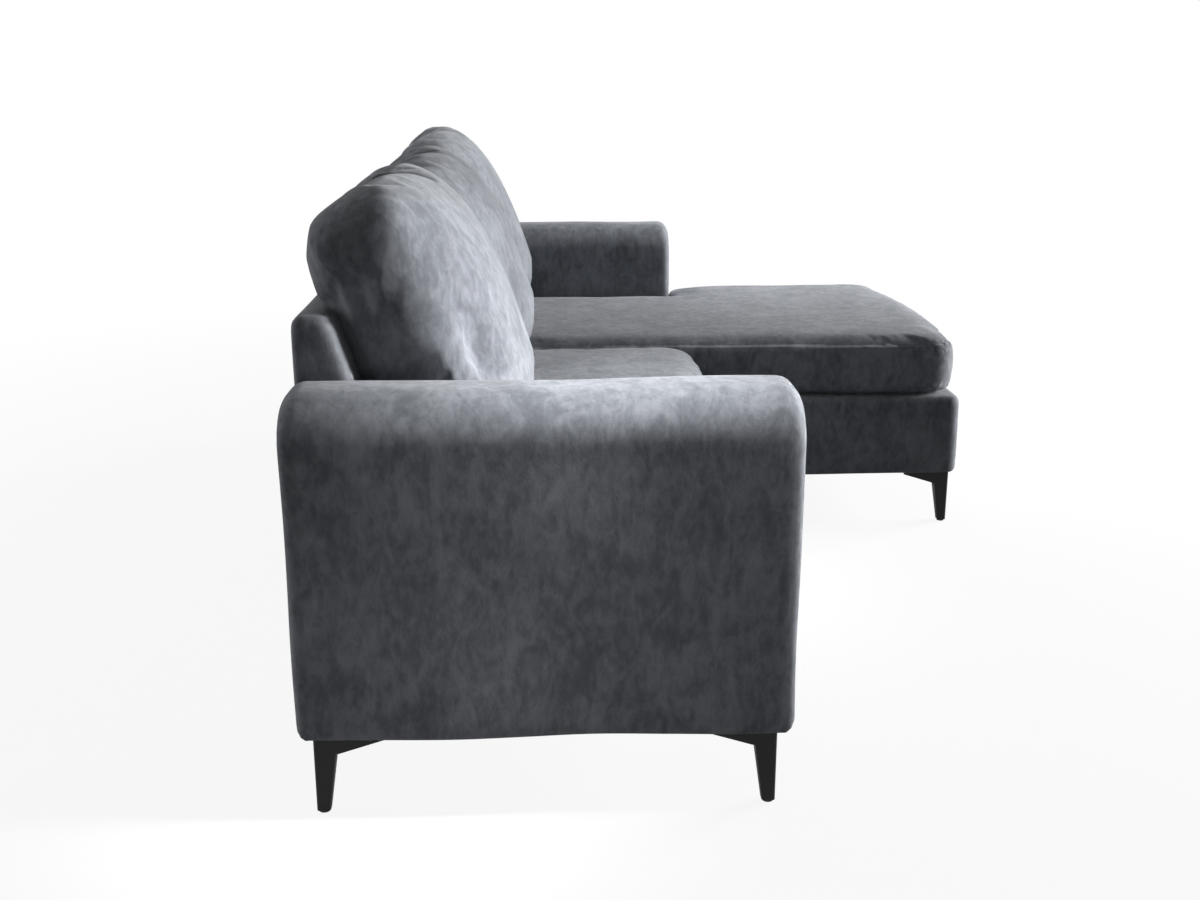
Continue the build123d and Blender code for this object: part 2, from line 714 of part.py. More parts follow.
def chaise_base():
    """The free-standing chaise base: panels, corner blocks, deck, pads, covers and legs."""
    x0, x1 = chaise_side, x_end
    y0, y1 = y_chaise, y_arm - chaise_gap
    box = (x0, x1, y0, y1, leg_height, deck_height)
    rounds = (chaise_corner, chaise_edge, chaise_edge, cloth + fit_gap)
    cover = upholstered(box, *rounds) - upholstered(box, *rounds, inset=cloth)
    cover -= block(x0 + skin, x1 - skin, y0 + skin, y1 - skin, leg_height, frame_floor + cloth)
    z_top = deck_height - cloth - chaise_top_pad
    z_deck = z_top - chaise_board
    z_floor = leg_height + cloth
    fx0, fx1, fy0, fy1 = x0 + skin, x1 - skin, y0 + skin, y1 - skin
    frame = block(fx0, fx1, fy0, fy1, z_floor, z_top)
    padding = upholstered(box, *rounds, inset=cloth + fit_gap) - frame
    px0, px1 = fx0 + chaise_board, fx1 - chaise_board
    py0, py1 = fy0 + chaise_board, fy1 - chaise_board
    places = corner_places(x0, x1, y0, y1, chaise_leg_inset)
    spots = [spot for place in places for spot in carried(place, plate_screws)]
    feet = [carried(place, [(leg_foot / 2, leg_foot / 2)])[0] for place in places]
    pilots = screw_bores(spots, screw_radius - thread_bite, z_floor, leg_height + screw_length)
    vents = screw_bores(spots, screw_radius + screw_clearance, leg_height, z_floor)
    z_block = z_floor + corner_block_height
    blocks = []
    for bx0 in (px0, px1 - corner_block):
        for by0 in (py0, py1 - corner_block):
            blocks.append(block(bx0, bx0 + corner_block, by0, by0 + corner_block, z_floor, z_block) - pilots)
    shape = corner_leg()
    return {
        "chaise_front_panel": block(fx0, fx1, fy0, py0, z_floor, z_deck),
        "chaise_rear_panel": block(fx0, fx1, py1, fy1, z_floor, z_deck),
        "chaise_right_panel": block(fx0, px0, py0, py1, z_floor, z_deck),
        "chaise_left_panel": block(px1, fx1, py0, py1, z_floor, z_deck),
        "chaise_corner_blocks": Compound([piece.solid() for piece in blocks]),
        "chaise_deck_board": block(fx0, fx1, fy0, fy1, z_deck, z_top),
        "chaise_padding": padding,
        "chaise_cover": cover,
        "chaise_dust_cover": block(fx0, fx1, fy0, fy1, leg_height, z_floor) - vents,
        "chaise_legs": Compound([(place * shape).solid() for place in places]),
        "chaise_leg_screws": Compound([screw(x, y, plate_bottom).solid() for x, y in spots]),
        "chaise_leg_glides": Compound([glide(x, y).solid() for x, y in feet]),
    }


pieces = {
    **arms(),
    **back(),
    **seat(),
    **frame_bolts(),
    **legs(),
    **chaise_base(),
    **seat_cushions(),
    **back_cushions(),
}
os.makedirs("parts", exist_ok=True)
for name, shape in pieces.items():
    export_step(shape, f"parts/{name}.step")
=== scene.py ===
"""A grey velvet corner sofa, dressed over its construction model: upholstery, cushions, seams and studio.

Lengths are in metres. The larger the scale of a pattern, the finer it is.
"""

import json
import logging
import math
from dataclasses import dataclass
from enum import Enum
from typing import Any, Callable, Iterable, Sequence

import bmesh
import bpy
import numpy as np
from mathutils import Matrix, Vector, kdtree, noise


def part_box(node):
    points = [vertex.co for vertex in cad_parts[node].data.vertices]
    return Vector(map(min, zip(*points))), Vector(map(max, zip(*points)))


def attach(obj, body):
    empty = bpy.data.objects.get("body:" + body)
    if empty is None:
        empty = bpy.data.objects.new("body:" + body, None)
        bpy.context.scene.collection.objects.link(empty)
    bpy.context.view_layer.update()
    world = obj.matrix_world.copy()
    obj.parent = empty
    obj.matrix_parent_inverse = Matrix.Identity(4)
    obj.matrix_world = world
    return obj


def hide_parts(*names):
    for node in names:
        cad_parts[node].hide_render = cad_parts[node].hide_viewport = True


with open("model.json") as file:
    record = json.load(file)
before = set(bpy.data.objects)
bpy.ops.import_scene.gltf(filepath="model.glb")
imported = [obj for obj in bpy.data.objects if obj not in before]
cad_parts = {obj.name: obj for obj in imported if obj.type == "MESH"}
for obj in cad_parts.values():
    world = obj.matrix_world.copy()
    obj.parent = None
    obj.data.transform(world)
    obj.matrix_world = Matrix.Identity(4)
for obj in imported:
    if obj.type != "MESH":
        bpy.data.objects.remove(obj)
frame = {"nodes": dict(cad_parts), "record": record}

LOG = logging.getLogger("corner_sofa")

Colour = tuple[float, float, float]
Point = tuple[float, float, float]
Pair = tuple[float, float]
Mesh = bpy.types.Object
EdgeTest = Callable[[Vector, Vector], bool]
Local = tuple[np.ndarray, np.ndarray, np.ndarray]

# Axes, and lengths in metres: what counts as touching, as a long edge, and the step along a seam
X, Y, Z = range(3)
NEAR = 1e-4
LONG_EDGE = 0.1
SEAM_STEP = 0.012

# Length of a quarter circle of radius 1, fill of the padded frame, and how a seed shifts a pattern
QUARTER_TURN = 1.57
PADDING_FILL = 0.9
PATTERN_SHIFT = (1.0, 2.3, -1.7)

# What every cushion's cloth is simulated with
CLOTH = {
    "quality": 4,
    "mass": 0.3,
    "tension_stiffness": 18.0,
    "compression_stiffness": 18.0,
    "shear_stiffness": 8.0,
    "bending_stiffness": 1.5,
    "use_pressure": True,
}


class Seat(Enum):
    """The places along the sofa, as a sitter names them."""

    RIGHT = "right"
    MIDDLE = "middle"
    LEFT = "left"


class Body(Enum):
    """The bodies of the construction model that pieces ride on."""

    FRAME = "sofa_frame"
    CHAISE_BASE = "chaise_base"
    CHAISE_CUSHION = "chaise_cushion"
    SEAT_RIGHT = "seat_cushion_right"
    SEAT_MIDDLE = "seat_cushion_middle"
    BACK_RIGHT = "back_cushion_right"
    BACK_MIDDLE = "back_cushion_middle"
    BACK_LEFT = "back_cushion_left"


class Slot(Enum):
    """The record's material slots."""

    VELVET = "grey_velvet"
    FOAM = "foam"
    WEBBING = "webbing"
    LINING = "black_lining"
    TIMBER = "timber"
    BLACK_STEEL = "black_steel"
    PLAIN_STEEL = "plain_steel"
    PLASTIC = "black_plastic"


class Term:
    """A shader value that takes part in arithmetic: each operator adds a Math node."""

    def __init__(self, graph: "Graph", socket: bpy.types.NodeSocket) -> None:
        """Keep the socket and the graph that it belongs to."""
        self.graph = graph
        self.socket = socket

    def math(self, operation: str, first: Any, second: Any) -> "Term":
        """Add a Math node.

        Args:
            operation: Blender's name of the operation.
            first: the first number or term.
            second: the second number or term.

        Returns:
            The result as a term.
        """
        return self.graph.node("ShaderNodeMath", {"operation": operation}, {0: first, 1: second})

    def __add__(self, other: Any) -> "Term":
        """Add."""
        return self.math("ADD", self, other)

    def __radd__(self, other: Any) -> "Term":
        """Add, with the number first."""
        return self.math("ADD", other, self)

    def __mul__(self, other: Any) -> "Term":
        """Multiply."""
        return self.math("MULTIPLY", self, other)


class Graph:
    """The node tree of one material or of the world."""

    def __init__(self, tree: bpy.types.NodeTree) -> None:
        """Empty the tree, ready for its nodes."""
        self.tree = tree
        tree.nodes.clear()

    def node(self, kind: str, settings: dict[str, Any], inputs: dict[Any, Any], output: Any = 0) -> Term:
        """Add a node, set it and join it up.

        Args:
            kind: Blender's name of the node type.
            settings: the node's own settings; stops are a ramp's places and colours.
            inputs: socket names or numbers with their values or terms.
            output: name or number of the output that is wanted.

        Returns:
            The output as a term.
        """
        made = self.tree.nodes.new(kind)
        for name, value in settings.items():
            if name == "stops":
                ramp = made.color_ramp
                while len(ramp.elements) < len(value):
                    ramp.elements.new(0.5)
                for element, (place, colour) in zip(ramp.elements, value):
                    element.position = place
                    element.color = (*colour, 1.0)
            else:
                setattr(made, name, value)
        for name, value in inputs.items():
            if isinstance(value, Term):
                self.tree.links.new(value.socket, made.inputs[name])
            else:
                made.inputs[name].default_value = value
        return Term(self, made.outputs[output] if len(made.outputs) else None)

    def place(self) -> Term:
        """The surface's place in the frame, in metres."""
        return self.node("ShaderNodeTexCoord", {}, {}, "Object")

    def stretched(self, scale: Point) -> Term:
        """The surface's place, stretched along the axes by a Mapping node."""
        return self.node("ShaderNodeMapping", {}, {"Vector": self.place(), "Scale": scale})

    def noise(
        self, where: Term, scale: float, detail: float = 3.0, rough: float = 0.55, twist: float = 0.0
    ) -> Term:
        """Cloudy noise.

        Args:
            where: the place that it is read at.
            scale: patches in a metre, about.
            detail: how many finer layers it has.
            rough: how strong the finer layers are.
            twist: how far it is stirred.

        Returns:
            Its value, about 0.5 on average.
        """
        inputs = {"Vector": where, "Scale": scale, "Detail": detail, "Roughness": rough, "Distortion": twist}
        return self.node("ShaderNodeTexNoise", {}, inputs, "Fac")

    @staticmethod
    def blend(terms: Sequence[Term], shares: Sequence[float]) -> Term:
        """Add terms up, each by its share.

        Args:
            terms: what is added up.
            shares: the share of each.

        Returns:
            The sum.
        """
        total = terms[0] * shares[0]
        for term, share in zip(terms[1:], shares[1:]):
            total = total + term * share
        return total

    def ramp(self, value: Term, stops: Sequence[tuple[float, Colour]]) -> Term:
        """Colours along a value."""
        return self.node("ShaderNodeValToRGB", {"stops": stops}, {"Fac": value}, "Color")

    def spread(self, value: Term, low: float, high: float, start: float, stop: float) -> Term:
        """Bring a value from one range into another, smoothly and within its ends.

        Args:
            value: the term to bring over.
            low: where its range starts.
            high: where its range ends.
            start: the result at low.
            stop: the result at high.

        Returns:
            The value in the new range.
        """
        inputs = {"Value": value, "From Min": low, "From Max": high, "To Min": start, "To Max": stop}
        return self.node("ShaderNodeMapRange", {"interpolation_type": "SMOOTHSTEP"}, inputs)

    def bump(self, height: Term, strength: float, distance: float) -> Term:
        """A bumped normal from a height."""
        inputs = {"Height": height, "Strength": strength, "Distance": distance}
        return self.node("ShaderNodeBump", {}, inputs)

    def cells(self, where: Term, scale: float) -> Term:
        """Small cells, as the distance from their middles."""
        return self.node("ShaderNodeTexVoronoi", {}, {"Vector": where, "Scale": scale}, "Distance")

    def bands(self, axis: str, inputs: dict[str, Any]) -> Term:
        """Straight bands across an axis."""
        return self.node("ShaderNodeTexWave", {"bands_direction": axis}, inputs, "Fac")

    def principled(self, inputs: dict[str, Any]) -> Term:
        """The surface shader of every finish."""
        return self.node("ShaderNodeBsdfPrincipled", {}, inputs)

    def surface(self, shader: Term) -> None:
        """Join a shader to the material's output."""
        self.node("ShaderNodeOutputMaterial", {}, {"Surface": shader})


class Finish:
    """A finish that is made as a material once and then shared."""

    made: dict[str, bpy.types.Material] = {}
    slot: Slot

    def shader(self, graph: Graph) -> Term:
        """Build the finish's shader in a graph."""
        raise NotImplementedError

    def material(self) -> bpy.types.Material:
        """The finish's material, made at its first use.

        Returns:
            The material that all pieces of the finish share.
        """
        name = type(self).__name__.lower()
        if name not in Finish.made:
            made = bpy.data.materials.new(name)
            made.use_nodes = True
            graph = Graph(made.node_tree)
            graph.surface(self.shader(graph))
            Finish.made[name] = made
        return Finish.made[name]


@dataclass(frozen=True)
class Velvet(Finish):
    """Short grey pile, brushed this way and that, with a soft sheen."""

    slot: Slot = Slot.VELVET
    deep: Colour = (0.108, 0.115, 0.129)
    pale: Colour = (0.208, 0.219, 0.240)
    cloud: float = 9.0
    stroke: float = 30.0
    tuft: float = 85.0
    pile: float = 900.0
    lean: Point = (1.0, 1.0, 0.55)
    shares: tuple[float, ...] = (0.24, 0.40, 0.28, 0.08)
    heights: tuple[float, ...] = (0.5, 0.35, 0.25)
    nap_range: Pair = (0.36, 0.66)
    rough_range: Pair = (0.35, 0.65)
    roughness: Pair = (0.95, 0.72)
    sheen: float = 0.16
    sheen_roughness: float = 0.5
    sheen_tint: Colour = (0.97, 0.98, 1.0)
    gloss: float = 0.12
    relief: float = 0.002

    def shader(self, graph: Graph) -> Term:
        """Mottle the pile at four scales and let the finest three raise it.

        Args:
            graph: the material's graph.

        Returns:
            The surface shader.
        """
        where = graph.place()
        leaning = graph.stretched(self.lean)
        cloud = graph.noise(where, self.cloud, 2.0, 0.5, 0.5)
        stroke = graph.noise(leaning, self.stroke, 4.0, 0.6, 0.9)
        tuft = graph.noise(leaning, self.tuft, 3.0, 0.6, 0.3)
        pile = graph.noise(where, self.pile, 1.0, 0.5)
        nap = graph.blend((cloud, stroke, tuft, pile), self.shares)
        brushed = graph.spread(nap, *self.nap_range, 0.0, 1.0)
        colour = graph.ramp(brushed, ((0.0, self.deep), (1.0, self.pale)))
        height = graph.blend((stroke, tuft, pile), self.heights)
        inputs = {
            "Base Color": colour,
            "Roughness": graph.spread(nap, *self.rough_range, *self.roughness),
            "Specular IOR Level": self.gloss,
            "Sheen Weight": self.sheen,
            "Sheen Roughness": self.sheen_roughness,
            "Sheen Tint": (*self.sheen_tint, 1.0),
            "Normal": graph.bump(height, 0.4, self.relief),
        }
        return graph.principled(inputs)


@dataclass(frozen=True)
class Lining(Finish):
    """Thin black woven-look lining cloth."""

    slot: Slot = Slot.LINING
    dark: Colour = (0.018, 0.018, 0.019)
    worn: Colour = (0.045, 0.045, 0.047)
    threads: float = 620.0
    cloud: float = 14.0

    def shader(self, graph: Graph) -> Term:
        """Cross two sets of threads over a faint cloudiness.

        Args:
            graph: the material's graph.

        Returns:
            The surface shader.
        """
        where = graph.place()
        wave = {"Vector": where, "Scale": self.threads, "Distortion": 0.6}
        warp = graph.bands("X", wave)
        weft = graph.bands("Y", wave)
        weave = warp * 0.5 + weft * 0.5
        cloud = graph.noise(where, self.cloud, 4.0)
        colour = graph.ramp(cloud * 0.7 + weave * 0.3, ((0.3, self.dark), (0.7, self.worn)))
        inputs = {
            "Base Color": colour,
            "Roughness": 0.8 + cloud * 0.15,
            "Specular IOR Level": 0.2,
            "Normal": graph.bump(weave, 0.3, 0.0005),
        }
        return graph.principled(inputs)


@dataclass(frozen=True)
class Webbing(Finish):
    """Ribbed elastic strap."""

    slot: Slot = Slot.WEBBING
    dark: Colour = (0.06, 0.06, 0.065)
    pale: Colour = (0.18, 0.18, 0.19)
    ribs: float = 130.0
    cloud: float = 40.0

    def shader(self, graph: Graph) -> Term:
        """Ribs along the strap.

        Args:
            graph: the material's graph.

        Returns:
            The surface shader.
        """
        where = graph.place()
        ribs = graph.bands("X", {"Vector": where, "Scale": self.ribs})
        cloud = graph.noise(where, self.cloud)
        colour = graph.ramp(ribs * 0.7 + cloud * 0.3, ((0.2, self.dark), (0.8, self.pale)))
        raised = graph.bump(ribs, 0.4, 0.001)
        inputs = {"Base Color": colour, "Roughness": 0.7 + cloud * 0.2, "Normal": raised}
        return graph.principled(inputs)


@dataclass(frozen=True)
class Foam(Finish):
    """Cream open-cell foam."""

    slot: Slot = Slot.FOAM
    shade: Colour = (0.62, 0.56, 0.42)
    light: Colour = (0.82, 0.77, 0.64)
    cells: float = 420.0
    cloud: float = 9.0

    def shader(self, graph: Graph) -> Term:
        """Fine cells over an uneven yellowing.

        Args:
            graph: the material's graph.

        Returns:
            The surface shader.
        """
        where = graph.place()
        cells = graph.cells(where, self.cells)
        cloud = graph.noise(where, self.cloud)
        colour = graph.ramp(cloud * 0.6 + cells * 0.4, ((0.25, self.shade), (0.7, self.light)))
        raised = graph.bump(cells, 0.4, 0.001)
        inputs = {"Base Color": colour, "Roughness": 0.85 + cloud * 0.1, "Normal": raised}
        return graph.principled(inputs)


@dataclass(frozen=True)
class Timber(Finish):
    """Planed, unfinished pine."""

    slot: Slot = Slot.TIMBER
    late: Colour = (0.36, 0.22, 0.11)
    early: Colour = (0.62, 0.45, 0.27)
    board: Point = (1.0, 7.0, 7.0)
    pore: Point = (6.0, 160.0, 160.0)
    pores: float = 2.0
    rings: float = 5.0
    stir: float = 3.0
    stirred: float = 9.0

    def shader(self, graph: Graph) -> Term:
        """Rings stretched along the length of the boards, with pores across them.

        Args:
            graph: the material's graph.

        Returns:
            The surface shader.
        """
        drawn = graph.stretched(self.board)
        stir = graph.noise(drawn, self.stir, 4.0, 0.5, 0.8)
        pores = graph.noise(graph.stretched(self.pore), self.pores, 2.0)
        rings = graph.node(
            "ShaderNodeTexWave",
            {"wave_type": "RINGS", "rings_direction": "X"},
            {"Vector": drawn, "Scale": self.rings, "Distortion": stir * self.stirred, "Detail": 2.0},
            "Fac",
        )
        grain = rings * 0.65 + pores * 0.35
        colour = graph.ramp(grain, ((0.15, self.late), (0.75, self.early)))
        raised = graph.bump(grain, 0.2, 0.001)
        inputs = {"Base Color": colour, "Roughness": 0.55 + grain * 0.25, "Normal": raised}
        return graph.principled(inputs)


@dataclass(frozen=True)
class PowderCoat(Finish):
    """Matt black powder coat with a fine orange-peel grain."""

    slot: Slot = Slot.BLACK_STEEL
    black: Colour = (0.005, 0.005, 0.0055)
    rubbed: Colour = (0.013, 0.013, 0.014)
    grain: float = 1100.0
    rub: float = 22.0

    def shader(self, graph: Graph) -> Term:
        """A grained black that is a little paler where it has been rubbed.

        Args:
            graph: the material's graph.

        Returns:
            The surface shader.
        """
        where = graph.place()
        grain = graph.noise(where, self.grain, 2.0)
        rub = graph.noise(where, self.rub, 5.0, 0.6)
        colour = graph.ramp(rub, ((0.45, self.black), (0.75, self.rubbed)))
        inputs = {
            "Base Color": colour,
            "Roughness": 0.5 + rub * 0.25,
            "Specular IOR Level": 0.25,
            "Normal": graph.bump(grain, 0.25, 0.0004),
        }
        return graph.principled(inputs)


@dataclass(frozen=True)
class ZincSteel(Finish):
    """Zinc-plated steel of springs, clips, screws and bolts."""

    slot: Slot = Slot.PLAIN_STEEL
    dull: Colour = (0.36, 0.36, 0.37)
    bright: Colour = (0.62, 0.62, 0.63)
    spangles: float = 180.0
    cloud: float = 60.0

    def shader(self, graph: Graph) -> Term:
        """Spangled metal with small differences of polish.

        Args:
            graph: the material's graph.

        Returns:
            The surface shader.
        """
        where = graph.place()
        spangle = graph.cells(where, self.spangles)
        cloud = graph.noise(where, self.cloud)
        colour = graph.ramp(spangle * 0.5 + cloud * 0.5, ((0.2, self.dull), (0.7, self.bright)))
        inputs = {"Base Color": colour, "Metallic": 1.0, "Roughness": 0.28 + cloud * 0.25}
        return graph.principled(inputs)


@dataclass(frozen=True)
class Plastic(Finish):
    """Moulded black plastic of the floor glides."""

    slot: Slot = Slot.PLASTIC
    black: Colour = (0.016, 0.016, 0.017)
    scuffed: Colour = (0.06, 0.06, 0.062)
    grain: float = 1500.0
    scuff: float = 90.0

    def shader(self, graph: Graph) -> Term:
        """A fine moulded grain with scuffs.

        Args:
            graph: the material's graph.

        Returns:
            The surface shader.
        """
        where = graph.place()
        grain = graph.noise(where, self.grain, 2.0)
        scuff = graph.noise(where, self.scuff, 5.0, 0.7)
        colour = graph.ramp(scuff, ((0.5, self.black), (0.8, self.scuffed)))
        raised = graph.bump(grain, 0.2, 0.0003)
        inputs = {"Base Color": colour, "Roughness": 0.45 + scuff * 0.2, "Normal": raised}
        return graph.principled(inputs)


FINISHES: dict[Slot, Finish] = {
    made.slot: made
    for made in (Velvet(), Lining(), Webbing(), Foam(), Timber(), PowderCoat(), ZincSteel(), Plastic())
}


class Bench:
    """The hand tools that every piece is made with."""

    @staticmethod
    def clear() -> None:
        """Leave edit mode and deselect everything."""
        if bpy.context.mode != "OBJECT":
            bpy.ops.object.mode_set(mode="OBJECT")
        bpy.ops.object.select_all(action="DESELECT")

    @staticmethod
    def take(piece: Mesh) -> None:
        """Select one piece alone and make it active.

        Args:
            piece: the piece.
        """
        Bench.clear()
        piece.select_set(True)
        bpy.context.view_layer.objects.active = piece

    @staticmethod
    def block(name: str, low: Sequence[float], high: Sequence[float]) -> Mesh:
        """Add a cube at its size and place.

        Args:
            name: the piece's name.
            low: its lowest corner.
            high: its highest corner.

        Returns:
            The piece, with its place in its mesh.
        """
        Bench.clear()
        middle = [(a + b) / 2 for a, b in zip(low, high)]
        bpy.ops.mesh.primitive_cube_add(size=1.0, location=middle)
        piece = bpy.context.active_object
        piece.name = name
        piece.data.name = name
        piece.scale = [b - a for a, b in zip(low, high)]
        bpy.ops.object.transform_apply(location=True, rotation=True, scale=True)
        return piece

    @staticmethod
    def edges(axis: int, levels: Sequence[float], along: int | None = None) -> EdgeTest:
        """A test for the edges that lie at a level.

        Args:
            axis: the axis that the levels are measured on.
            levels: where the edges lie.
            along: the axis that they run along, where only long ones are meant.

        Returns:
            Takes the two ends of an edge and tells whether it is meant.
        """

        def test(a: Vector, b: Vector) -> bool:
            """Whether both ends lie at one level and the edge is long enough."""
            level = any(abs(a[axis] - at) < NEAR and abs(b[axis] - at) < NEAR for at in levels)
            return level and (along is None or abs(a[along] - b[along]) > LONG_EDGE)

        return test

    @staticmethod
    def pick_edges(piece: Mesh, test: EdgeTest) -> None:
        """Open a piece in edit mode with the edges selected whose two ends pass a test.

        Args:
            piece: the piece.
            test: takes the two ends of an edge.
        """
        Bench.take(piece)
        bpy.ops.object.mode_set(mode="EDIT")
        bpy.ops.mesh.select_mode(type="EDGE")
        bpy.ops.mesh.select_all(action="DESELECT")
        made = bmesh.from_edit_mesh(piece.data)
        for edge in made.edges:
            edge.select_set(test(edge.verts[0].co, edge.verts[1].co))
        bmesh.update_edit_mesh(piece.data)

    @staticmethod
    def bevel(piece: Mesh, test: EdgeTest, width: float, segments: int) -> None:
        """Round the edges whose two ends pass a test.

        Args:
            piece: the piece to work on.
            test: takes the two ends of an edge.
            width: the radius of the rounding.
            segments: how many strips it has.
        """
        Bench.pick_edges(piece, test)
        bpy.ops.mesh.bevel(offset=width, segments=segments, profile=0.5, affect="EDGES")
        Bench.clear()

    @staticmethod
    def apply(piece: Mesh, kind: str, **settings: Any) -> None:
        """Add a modifier, set it and apply it.

        Args:
            piece: the piece to work on.
            kind: Blender's name of the modifier type.
            settings: the modifier's own settings.
        """
        Bench.take(piece)
        added = piece.modifiers.new(kind.title(), kind)
        for name, value in settings.items():
            setattr(added, name, value)
        bpy.ops.object.modifier_apply(modifier=added.name)

    @staticmethod
    def remesh(piece: Mesh, voxel: float, passes: int) -> None:
        """Give a closed piece even, small faces and smooth them.

        Args:
            piece: the piece to work on.
            voxel: the size of its faces, about.
            passes: how often it is smoothed.
        """
        Bench.take(piece)
        piece.data.remesh_voxel_size = voxel
        bpy.ops.object.voxel_remesh()
        Bench.apply(piece, "SMOOTH", factor=0.5, iterations=passes)

    @staticmethod
    def points(piece: Mesh) -> np.ndarray:
        """The places of a mesh's points.

        Args:
            piece: the piece that has the mesh.

        Returns:
            One row for each point.
        """
        found = np.empty(len(piece.data.vertices) * 3)
        piece.data.vertices.foreach_get("co", found)
        return found.reshape(-1, 3)

    @staticmethod
    def normals(piece: Mesh) -> np.ndarray:
        """The outward directions at a mesh's points.

        Args:
            piece: the piece that has the mesh.

        Returns:
            One row for each point.
        """
        found = np.empty(len(piece.data.vertices) * 3)
        piece.data.vertices.foreach_get("normal", found)
        return found.reshape(-1, 3)

    @staticmethod
    def put(piece: Mesh, places: np.ndarray) -> None:
        """Move a mesh's points to new places."""
        piece.data.vertices.foreach_set("co", places.ravel())
        piece.data.update()

    @staticmethod
    def smooth(piece: Mesh) -> None:
        """Shade a piece smoothly."""
        Bench.take(piece)
        bpy.ops.object.shade_smooth()

    @staticmethod
    def unevenness(piece: Mesh, size: float, amount: float, seed: float) -> None:
        """Raise and lower a surface gently, as padding under cloth does.

        Args:
            piece: the piece to work on.
            size: breadth of a swell.
            amount: the most that a point moves.
            seed: shifts the pattern from piece to piece.
        """
        places = Bench.points(piece)
        out = Bench.normals(piece)
        shift = Vector([step * seed for step in PATTERN_SHIFT])
        swell = np.array([noise.noise(Vector(place) / size + shift) for place in places])
        Bench.put(piece, places + out * (amount * swell)[:, None])


class Dresser:
    """Gives a finished piece its material and body, and hides the construction nodes that it stands for."""

    @staticmethod
    def dress(
        piece: Mesh, finish: Finish, body: Body, nodes: Iterable[str] = (), fill: float | None = None
    ) -> None:
        """Finish a piece.

        Args:
            piece: the piece.
            finish: what it is covered with.
            body: what it moves with.
            nodes: the construction nodes that it stands for.
            fill: how full it is stuffed, where it is padded; not used.
        """
        Bench.smooth(piece)
        piece.data.materials.clear()
        piece.data.materials.append(finish.material())
        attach(piece, body.value)
        names = list(nodes)
        if names:
            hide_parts(*names)
        LOG.info("%s: %d points, rides on %s", piece.name, len(piece.data.vertices), body.value)


@dataclass
class Seam:
    """A covered cord sewn along an edge of a padded piece."""

    name: str
    line: list[Point]
    target: Mesh
    radius: float = 0.0010
    proud: float = -0.3
    evening: int = 6
    rings: int = 2

    def lay(self, line: Any) -> np.ndarray:
        """Lay points on the surface of the piece.

        Args:
            line: the points.

        Returns:
            The places on the surface, raised or sunk a little.
        """
        laid = []
        for point in line:
            _, place, out, _ = self.target.closest_point_on_mesh(Vector(point))
            laid.append(np.array(place) + np.array(out) * self.radius * self.proud)
        return np.array(laid)

    def build(self) -> Mesh:
        """Lay the cord on its piece, even it out and lay it again.

        Returns:
            The cord as a closed tube.
        """
        laid = self.lay(self.line)
        for _ in range(self.evening):
            laid = (np.roll(laid, 1, 0) + 2 * laid + np.roll(laid, -1, 0)) / 4
        laid = self.lay(laid)
        curve = bpy.data.curves.new(self.name, "CURVE")
        curve.dimensions = "3D"
        curve.bevel_depth = self.radius
        curve.bevel_resolution = self.rings
        spline = curve.splines.new("POLY")
        spline.points.add(len(laid) - 1)
        for point, place in zip(spline.points, laid):
            point.co = (*place, 1.0)
        spline.use_cyclic_u = True
        piece = bpy.data.objects.new(self.name, curve)
        bpy.context.scene.collection.objects.link(piece)
        Bench.take(piece)
        bpy.ops.object.convert(target="MESH")
        return bpy.context.active_object


class Outline:
    """Plan outlines with round corners and bowed sides."""

    @staticmethod
    def trace(
        corners: Sequence[Pair], radii: Sequence[float], bows: Sequence[float], step: float
    ) -> list[Pair]:
        """Walk round an outline.

        Args:
            corners: its corners before they are rounded.
            radii: the radius of each corner.
            bows: how far each side, from its corner to the next, bows inwards.
            step: the distance between points, about.

        Returns:
            Points round the outline.
        """
        spots = [np.array(corner) for corner in corners]
        count = len(spots)
        ways = []
        for i in range(count):
            way = spots[(i + 1) % count] - spots[i]
            ways.append(way / np.linalg.norm(way))
        walked: list[Pair] = []
        for i in range(count):
            nxt = (i + 1) % count
            start = spots[i] + ways[i] * radii[i]
            stop = spots[nxt] - ways[i] * radii[nxt]
            inward = np.array((-ways[i][1], ways[i][0]))
            for t in np.arange(0.0, 1.0, step / np.linalg.norm(stop - start)):
                walked.append(tuple(start + (stop - start) * t + inward * bows[i] * (1 - (2 * t - 1) ** 2)))
            end = spots[nxt] + ways[nxt] * radii[nxt]
            for t in np.arange(0.0, 1.0, step / (QUARTER_TURN * radii[nxt])):
                walked.append(tuple(stop * (1 - t) ** 2 + spots[nxt] * 2 * t * (1 - t) + end * t**2))
        return walked


